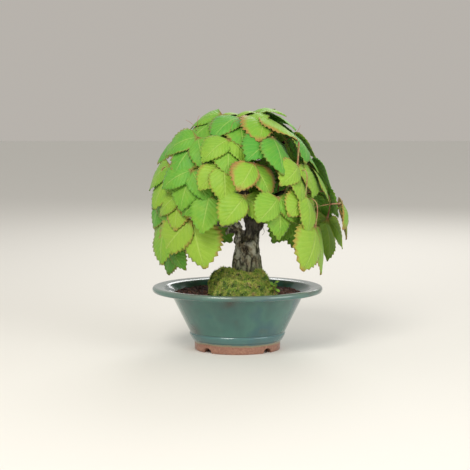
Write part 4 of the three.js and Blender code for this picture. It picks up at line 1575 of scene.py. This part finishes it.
# Dry twig bark: matt dark brown when old, and red-brown on high young tips.
tendril_bark, tree, shader = finish_material("Dry red-brown tendril bark", Roughness=0.8)
where = add(tree, "ShaderNodeTexCoord").outputs["Object"]
high = add(tree, "ShaderNodeSeparateXYZ", links={0: where}).outputs["Z"]
young = add(tree, "ShaderNodeMapRange", links={0: high, 1: 0.2, 2: 0.28}).outputs[0]
grain = add(tree, "ShaderNodeTexNoise", links={"Vector": where, "Scale": 700, "Detail": 3}).outputs["Fac"]
old_bark = add(tree, "ShaderNodeValToRGB", {"color_ramp": [(0.35, srgb("#2E2019")), (0.65, srgb("#5B4334"))]}, [grain])
new_bark = add(tree, "ShaderNodeValToRGB", {"color_ramp": [(0.35, srgb("#8E4A3A")), (0.65, srgb("#B0765A"))]}, [grain])
feed(
    tree,
    shader,
    {"Base Color": add(tree, "ShaderNodeMix", {"data_type": "RGBA"}, {0: young, 6: old_bark, 7: new_bark}).outputs[2]},
)

# Each as points in mm that the curve runs through.
tendrils = [
    [(13, -12, 183), (24, -16, 180), (31, -18, 172), (29, -20, 165), (25, -19, 168)],
    [(18, -14, 184), (30, -18, 186), (38, -20, 179), (41, -21, 170), (37, -22, 164), (34, -21, 168)],
    [(22, -12, 182), (34, -14, 178), (40, -16, 182), (44, -17, 177), (43, -16, 171)],
    [(12, -16, 178), (19, -20, 173), (22, -22, 166), (19, -21, 161)],
    [(-60, -20, 292), (-70, -24, 304), (-76, -26, 313), (-84, -27, 318)],
    [(-62, -18, 294), (-68, -20, 308), (-68, -22, 319), (-66, -21, 324)],
    [(-30, -50, 294), (-24, -56, 306), (-20, -58, 316), (-12, -60, 319)],
    [(52, -20, 286), (62, -24, 296), (68, -26, 306), (70, -27, 311)],
    [(20, 36, 300), (26, 44, 312), (34, 48, 320), (36, 50, 326)],
]
vines = bpy.data.meshes.new("tendrils")
points, edges = [], []
for run in tendrils:
    first = len(points)
    points += [Vector(p) * MM for p in run]
    edges += [(i, i + 1) for i in range(first, len(points) - 1)]
vines.from_pydata(points, edges, [])
tendril_piece = bpy.data.objects.new("tendrils", vines)
bpy.context.scene.collection.objects.link(tendril_piece)
tree, sizes = new_tree("Curling tendrils", {"Radius": 0.0005})
path = add(tree, "GeometryNodeMeshToCurve", links={"Mesh": sizes["Geometry"]}).outputs[0]
path = add(tree, "GeometryNodeCurveSplineType", {"spline_type": "CATMULL_ROM"}, {"Curve": path}).outputs[0]
path = add(tree, "GeometryNodeSetSplineResolution", links={"Geometry": path, "Resolution": 8}).outputs[0]
share = add(tree, "GeometryNodeSplineParameter").outputs["Factor"]
taper = add(
    tree,
    "ShaderNodeMath",
    {"operation": "MULTIPLY"},
    [add(tree, "ShaderNodeMath", {"operation": "MULTIPLY_ADD"}, [share, -0.65, 1.0]), sizes["Radius"]],
)
rod = add(tree, "GeometryNodeCurvePrimitiveCircle", links={"Resolution": 6, "Radius": 1.0}).outputs["Curve"]
tube = add(
    tree, "GeometryNodeCurveToMesh", links={"Curve": path, "Profile Curve": rod, "Scale": taper, "Fill Caps": True}
).outputs[0]
grow(tendril_piece, tree, tube, tendril_bark, {"Radius": TENDRIL_RADIUS * MM})
smooth(tendril_piece, 60)
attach(tendril_piece, "root")

# ---- Camera, light and floor ----
# A plain pale studio of paper and soft lamps, with the camera in front of the pot, a little above the crown and
# tilted down.

LENS = 98.2
CAMERA_ASIDE = -0.0034
CAMERA_DISTANCE = 1.7559
CAMERA_HEIGHT = 0.373
CAMERA_TILT = 6.95

floor = bpy.data.objects.new("studio_floor", bpy.data.meshes.new("studio_floor"))
sheet = bmesh.new()
bmesh.ops.create_grid(sheet, x_segments=1, y_segments=1, size=6)
sheet.to_mesh(floor.data)
sheet.free()
bpy.context.scene.collection.objects.link(floor)
# Matt paper: a plain pale ground that takes soft shadows.
paper, tree, shader = finish_material("Pale studio paper", Roughness=0.9)
shader.inputs["Base Color"].default_value = srgb("#E4E1DA")
floor.data.materials.append(paper)
floor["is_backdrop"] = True

world = bpy.data.worlds.new("studio")
world.use_nodes = True
world.node_tree.nodes["Background"].inputs["Strength"].default_value = 0.62
light_path = add(world.node_tree, "ShaderNodeLightPath").outputs["Is Camera Ray"]
seen = add(
    world.node_tree, "ShaderNodeMix", {"data_type": "RGBA"}, {0: light_path, 6: srgb("#F2F0EC"), 7: srgb("#E3DDD5")}
).outputs[2]
world.node_tree.links.new(seen, world.node_tree.nodes["Background"].inputs["Color"])
bpy.context.scene.world = world
bpy.context.scene.view_settings.view_transform = "Standard"


def lamp(name, place, aim, size, power, colour):
    light = bpy.data.lights.new(name, "AREA")
    light.size = size
    light.energy = power
    light.color = colour
    made = bpy.data.objects.new(name, light)
    made.location = place
    made.rotation_euler = (Vector(aim) - Vector(place)).to_track_quat("-Z", "Y").to_euler()
    bpy.context.scene.collection.objects.link(made)


middle = (0, 0, 0.18)
lamp("key", (-0.5, -1.2, 1.4), middle, 0.7, 19, (1.0, 0.97, 0.92))
lamp("fill", (1.2, -1.0, 0.7), middle, 0.9, 9, (0.95, 0.98, 1.0))
lamp("back", (0.3, 1.3, 1.1), middle, 0.8, 8, (1.0, 1.0, 1.0))

camera = bpy.data.objects.new("camera", bpy.data.cameras.new("camera"))
camera.data.lens = LENS
camera.data.sensor_width = 36
camera.data.clip_end = 30
camera.location = (pot_x * MM + CAMERA_ASIDE, -CAMERA_DISTANCE, CAMERA_HEIGHT)
camera.rotation_euler = (math.radians(90 - CAMERA_TILT), 0, 0)
bpy.context.scene.collection.objects.link(camera)
bpy.context.scene.camera = camera

low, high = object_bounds()
